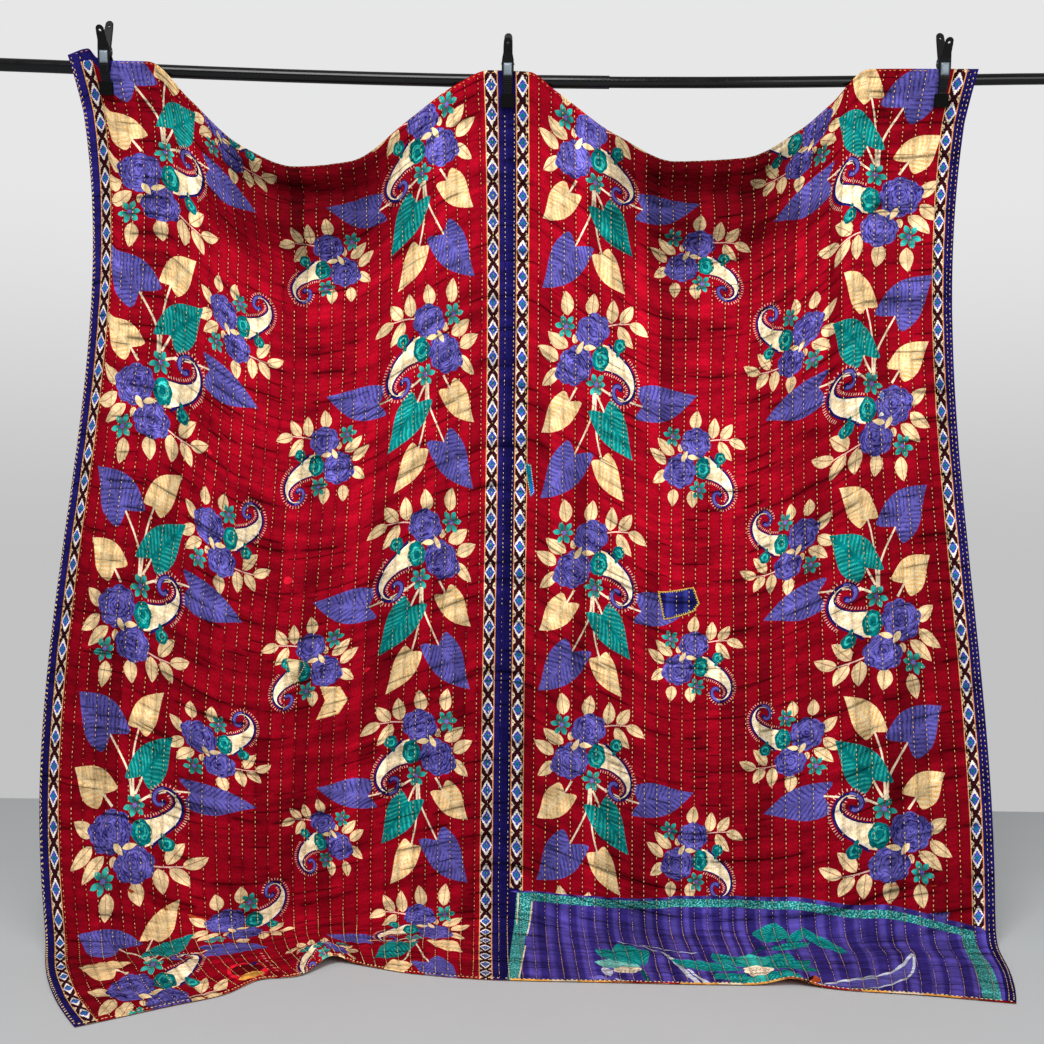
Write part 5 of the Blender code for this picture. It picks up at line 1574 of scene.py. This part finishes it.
# ---- operators -------------------------------------------------------------------------
class KANTHA_OT_widths(bpy.types.Operator):
    """Makes the two printed sari widths"""
    bl_idname = "kantha.widths"
    bl_label = "Sari widths"

    def execute(self, context):
        cloth = context.scene.kantha_cloth
        inks = ink_table(context.scene.kantha_inks)
        finishes = [printed_cotton("printed_cotton", inks), plain_cotton("backing_cotton")]
        for side, name, slot in ((-1, "left_width", "printed_cotton"),
                                 (1, "right_width", "printed_cotton_pallu")):
            made = make_cloth(name, side, cloth, inks, finishes)
            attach(made, "root")
            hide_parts("quilt_" + name)
        return {"FINISHED"}


class KANTHA_OT_stitches(bpy.types.Operator):
    """Sews the rows of running stitch and the closer stitching along the edges"""
    bl_idname = "kantha.stitches"
    bl_label = "Running stitches"

    def execute(self, context):
        thread = context.scene.kantha_thread
        inks = ink_table(context.scene.kantha_inks)
        finish = sewing_thread("sewing_thread")
        for side, name in ((-1, "left_stitches"), (1, "right_stitches")):
            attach(make_running_stitches(name, side, thread, inks, finish), "root")
        return {"FINISHED"}


class KANTHA_OT_patches(bpy.types.Operator):
    """Sews on the patches and scraps"""
    bl_idname = "kantha.patches"
    bl_label = "Patches"

    def execute(self, context):
        cloth, thread = context.scene.kantha_cloth, context.scene.kantha_thread
        inks = ink_table(context.scene.kantha_inks)
        finish = bpy.data.objects["right_width"].data.materials[0]
        rng = np.random.default_rng(43)
        for name, patch in PATCHES.items():
            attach(make_patch(name, patch, cloth, inks, finish), "root")
        for side, name in ((-1, "left_patch_sewing"), (1, "right_patch_sewing")):
            groups = [group for patch in PATCHES.values() if patch[0] == side
                      for group in patch_sewing(patch, rng)]
            sewn = stitch_piece(name, groups, thread, inks,
                                bpy.data.objects["right_stitches"].data.materials[0])
            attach(sewn, "root")
        return {"FINISHED"}


class KANTHA_OT_rod(bpy.types.Operator):
    """Finishes the telescoping rod"""
    bl_idname = "kantha.rod"
    bl_label = "Rod"

    def execute(self, context):
        colours = context.scene.kantha_hardware
        tube = moulded("coated_tube", colours.tube, 0.16, 900.0, 0.00002, 0.05, Specular_IOR_Level=0.30)
        plug = moulded("tube_plug", colours.rubber, 0.55, 1200.0, 0.00008, 0.05, Specular_IOR_Level=0.20)
        dress(tube, "rod_outer_tube", "rod_inner_tube")
        dress(plug, "rod_left_plug", "rod_right_plug")
        return {"FINISHED"}


class KANTHA_OT_clamps(bpy.types.Operator):
    """Finishes the three spring clamps and adds their grip ribs and hinge plates"""
    bl_idname = "kantha.clamps"
    bl_label = "Spring clamps"

    def execute(self, context):
        colours = context.scene.kantha_hardware
        nylon = moulded("black_nylon", colours.nylon, 0.42, 1500.0, 0.00010, 0.10, Specular_IOR_Level=0.20)
        rubber = moulded("black_rubber", colours.rubber, 0.78, 1800.0, 0.00016, 0.05,
                         Specular_IOR_Level=0.10)
        steel = moulded("spring_steel", colours.steel, 0.30, 2500.0, 0.00002, 0.0, Metallic=1.0)
        # The grey of the hinge plates is painted highlight over real raised plates.
        plate = moulded("hinge_plate", colours.painted_hinge_highlight, 0.38, 420.0, 0.00040, 0.05, Metallic=0.2)
        for which in CLAMP_PLACES:
            name = f"clamp_{which}_"
            dress(nylon, name + "front_arm", name + "rear_arm")
            dress(rubber, name + "front_pad", name + "rear_pad")
            dress(steel, name + "pin", name + "spring")
            ribs = [raised_pad(which, low, low + 0.0026, 0.0200, 0.0014, 4)
                    for low in (0.031, 0.0358, 0.0406, 0.0454)]
            made = new_piece(name + "ribs", *joined(ribs), [nylon])
            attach(made, "root")
            made = new_piece(name + "plate", *raised_pad(which, 0.0510, 0.0790, 0.0190, 0.0028, 5), [plate])
            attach(made, "root")
        return {"FINISHED"}


class KANTHA_OT_stage(bpy.types.Operator):
    """Sets the floor, the lights and the camera"""
    bl_idname = "kantha.stage"
    bl_label = "Stage"

    def execute(self, context):
        stage = context.scene.kantha_stage
        finish, tree, shader = new_material("pale_floor", 0.62, Specular_IOR_Level=0.3)
        place = add(tree, "TexCoord", out=3)
        cloud = add(tree, "TexNoise", place, None, 1.7, 4.0)
        low, high = (tuple(c * k for c in stage.floor) + (1.0,) for k in (0.95, 1.04))
        tree.links.new(blend(tree, cloud, low, high), shader.inputs["Base Color"])
        x = np.array([MIDDLE - 6, MIDDLE + 6])
        y = np.array([-7.0, stage.floor_depth])
        points = [(x[0], y[0], FLOOR_Z), (x[1], y[0], FLOOR_Z), (x[1], y[1], FLOOR_Z),
                  (x[0], y[1], FLOOR_Z)]
        new_piece("floor", points, [(0, 1, 2, 3)], [finish], False)

        world = bpy.data.worlds.new("pale_room")
        world.use_nodes = True
        room = world.node_tree
        seen = add(room, "LightPath")
        # Painted shade on the backdrop: what the camera sees of the surroundings is darker low down,
        # towards the floor; the scene is lit by an even share of their colour.
        way = add(room, "SeparateXYZ", add(room, "TexCoord"))
        wall = blend(room, ramp(room, way.node.outputs[2], -0.04, 0.26),
                     (*[c * 0.68 for c in stage.wall], 1.0), (*stage.wall, 1.0))
        lit = blend(room, seen, (*[c * stage.ambient for c in stage.wall], 1.0), wall)
        room.links.new(lit, room.nodes["Background"].inputs["Color"])
        context.scene.world = world
        aim = Vector((MIDDLE, 0.0, -0.9))
        for name, where, size, power in (("key", (0.5, -3.6, 3.4), 2.6, stage.key_power),
                                         ("fill", (3.8, -4.2, 0.6), 2.6, stage.fill_power)):
            data = bpy.data.lights.new(name, "AREA")
            data.size, data.energy = size, power
            light = bpy.data.objects.new(name, data)
            light.location = where
            light.rotation_euler = (aim - Vector(where)).to_track_quat("-Z", "Y").to_euler()
            context.scene.collection.objects.link(light)

        data = bpy.data.cameras.new("camera")
        data.lens, data.sensor_width = stage.lens, 36.0
        camera = bpy.data.objects.new("camera", data)
        turn = Matrix.Rotation(math.pi / 2, 4, "X") @ Matrix.Rotation(stage.roll, 4, "Z")
        camera.matrix_world = Matrix.Translation((MIDDLE, -stage.camera_distance,
                                                  stage.camera_height)) @ turn
        context.scene.collection.objects.link(camera)
        context.scene.camera = camera
        context.scene.view_settings.view_transform = "Standard"
        return {"FINISHED"}


OPERATORS = (KANTHA_OT_widths, KANTHA_OT_stitches, KANTHA_OT_patches, KANTHA_OT_rod, KANTHA_OT_clamps,
             KANTHA_OT_stage)
GROUPS = {"kantha_cloth": KanthaCloth, "kantha_thread": KanthaThread, "kantha_inks": KanthaInks,
          "kantha_hardware": KanthaHardware, "kantha_stage": KanthaStage}


class KANTHA_PT_panel(bpy.types.Panel):
    """Lists the quilt's operators and settings"""
    bl_idname = "KANTHA_PT_panel"
    bl_label = "Kantha quilt"
    bl_space_type = "VIEW_3D"
    bl_region_type = "UI"
    bl_category = "Kantha quilt"

    def draw(self, context):
        for operator in OPERATORS:
            self.layout.operator(operator.bl_idname)
        for name, group in GROUPS.items():
            box = self.layout.box()
            for key in group.__annotations__:
                box.prop(getattr(context.scene, name), key)


def register():
    for made in (*GROUPS.values(), *OPERATORS, KANTHA_PT_panel):
        bpy.utils.register_class(made)
    for name, group in GROUPS.items():
        setattr(bpy.types.Scene, name, PointerProperty(type=group))


def unregister():
    for name in GROUPS:
        delattr(bpy.types.Scene, name)
    for made in reversed((*GROUPS.values(), *OPERATORS, KANTHA_PT_panel)):
        bpy.utils.unregister_class(made)


def main():
    register()
    bpy.ops.kantha.widths()
    bpy.ops.kantha.stitches()
    bpy.ops.kantha.patches()
    bpy.ops.kantha.rod()
    bpy.ops.kantha.clamps()
    bpy.ops.kantha.stage()
    for side, name, clamps in ((-1, "left", ("left", "centre")), (1, "right", ("centre", "right"))):
        sewn = [bpy.data.objects[key] for key, patch in PATCHES.items() if patch[0] == side]
        sewn += [bpy.data.objects[name + "_stitches"], bpy.data.objects[name + "_patch_sewing"]]


if __name__ == "__main__":
    main()
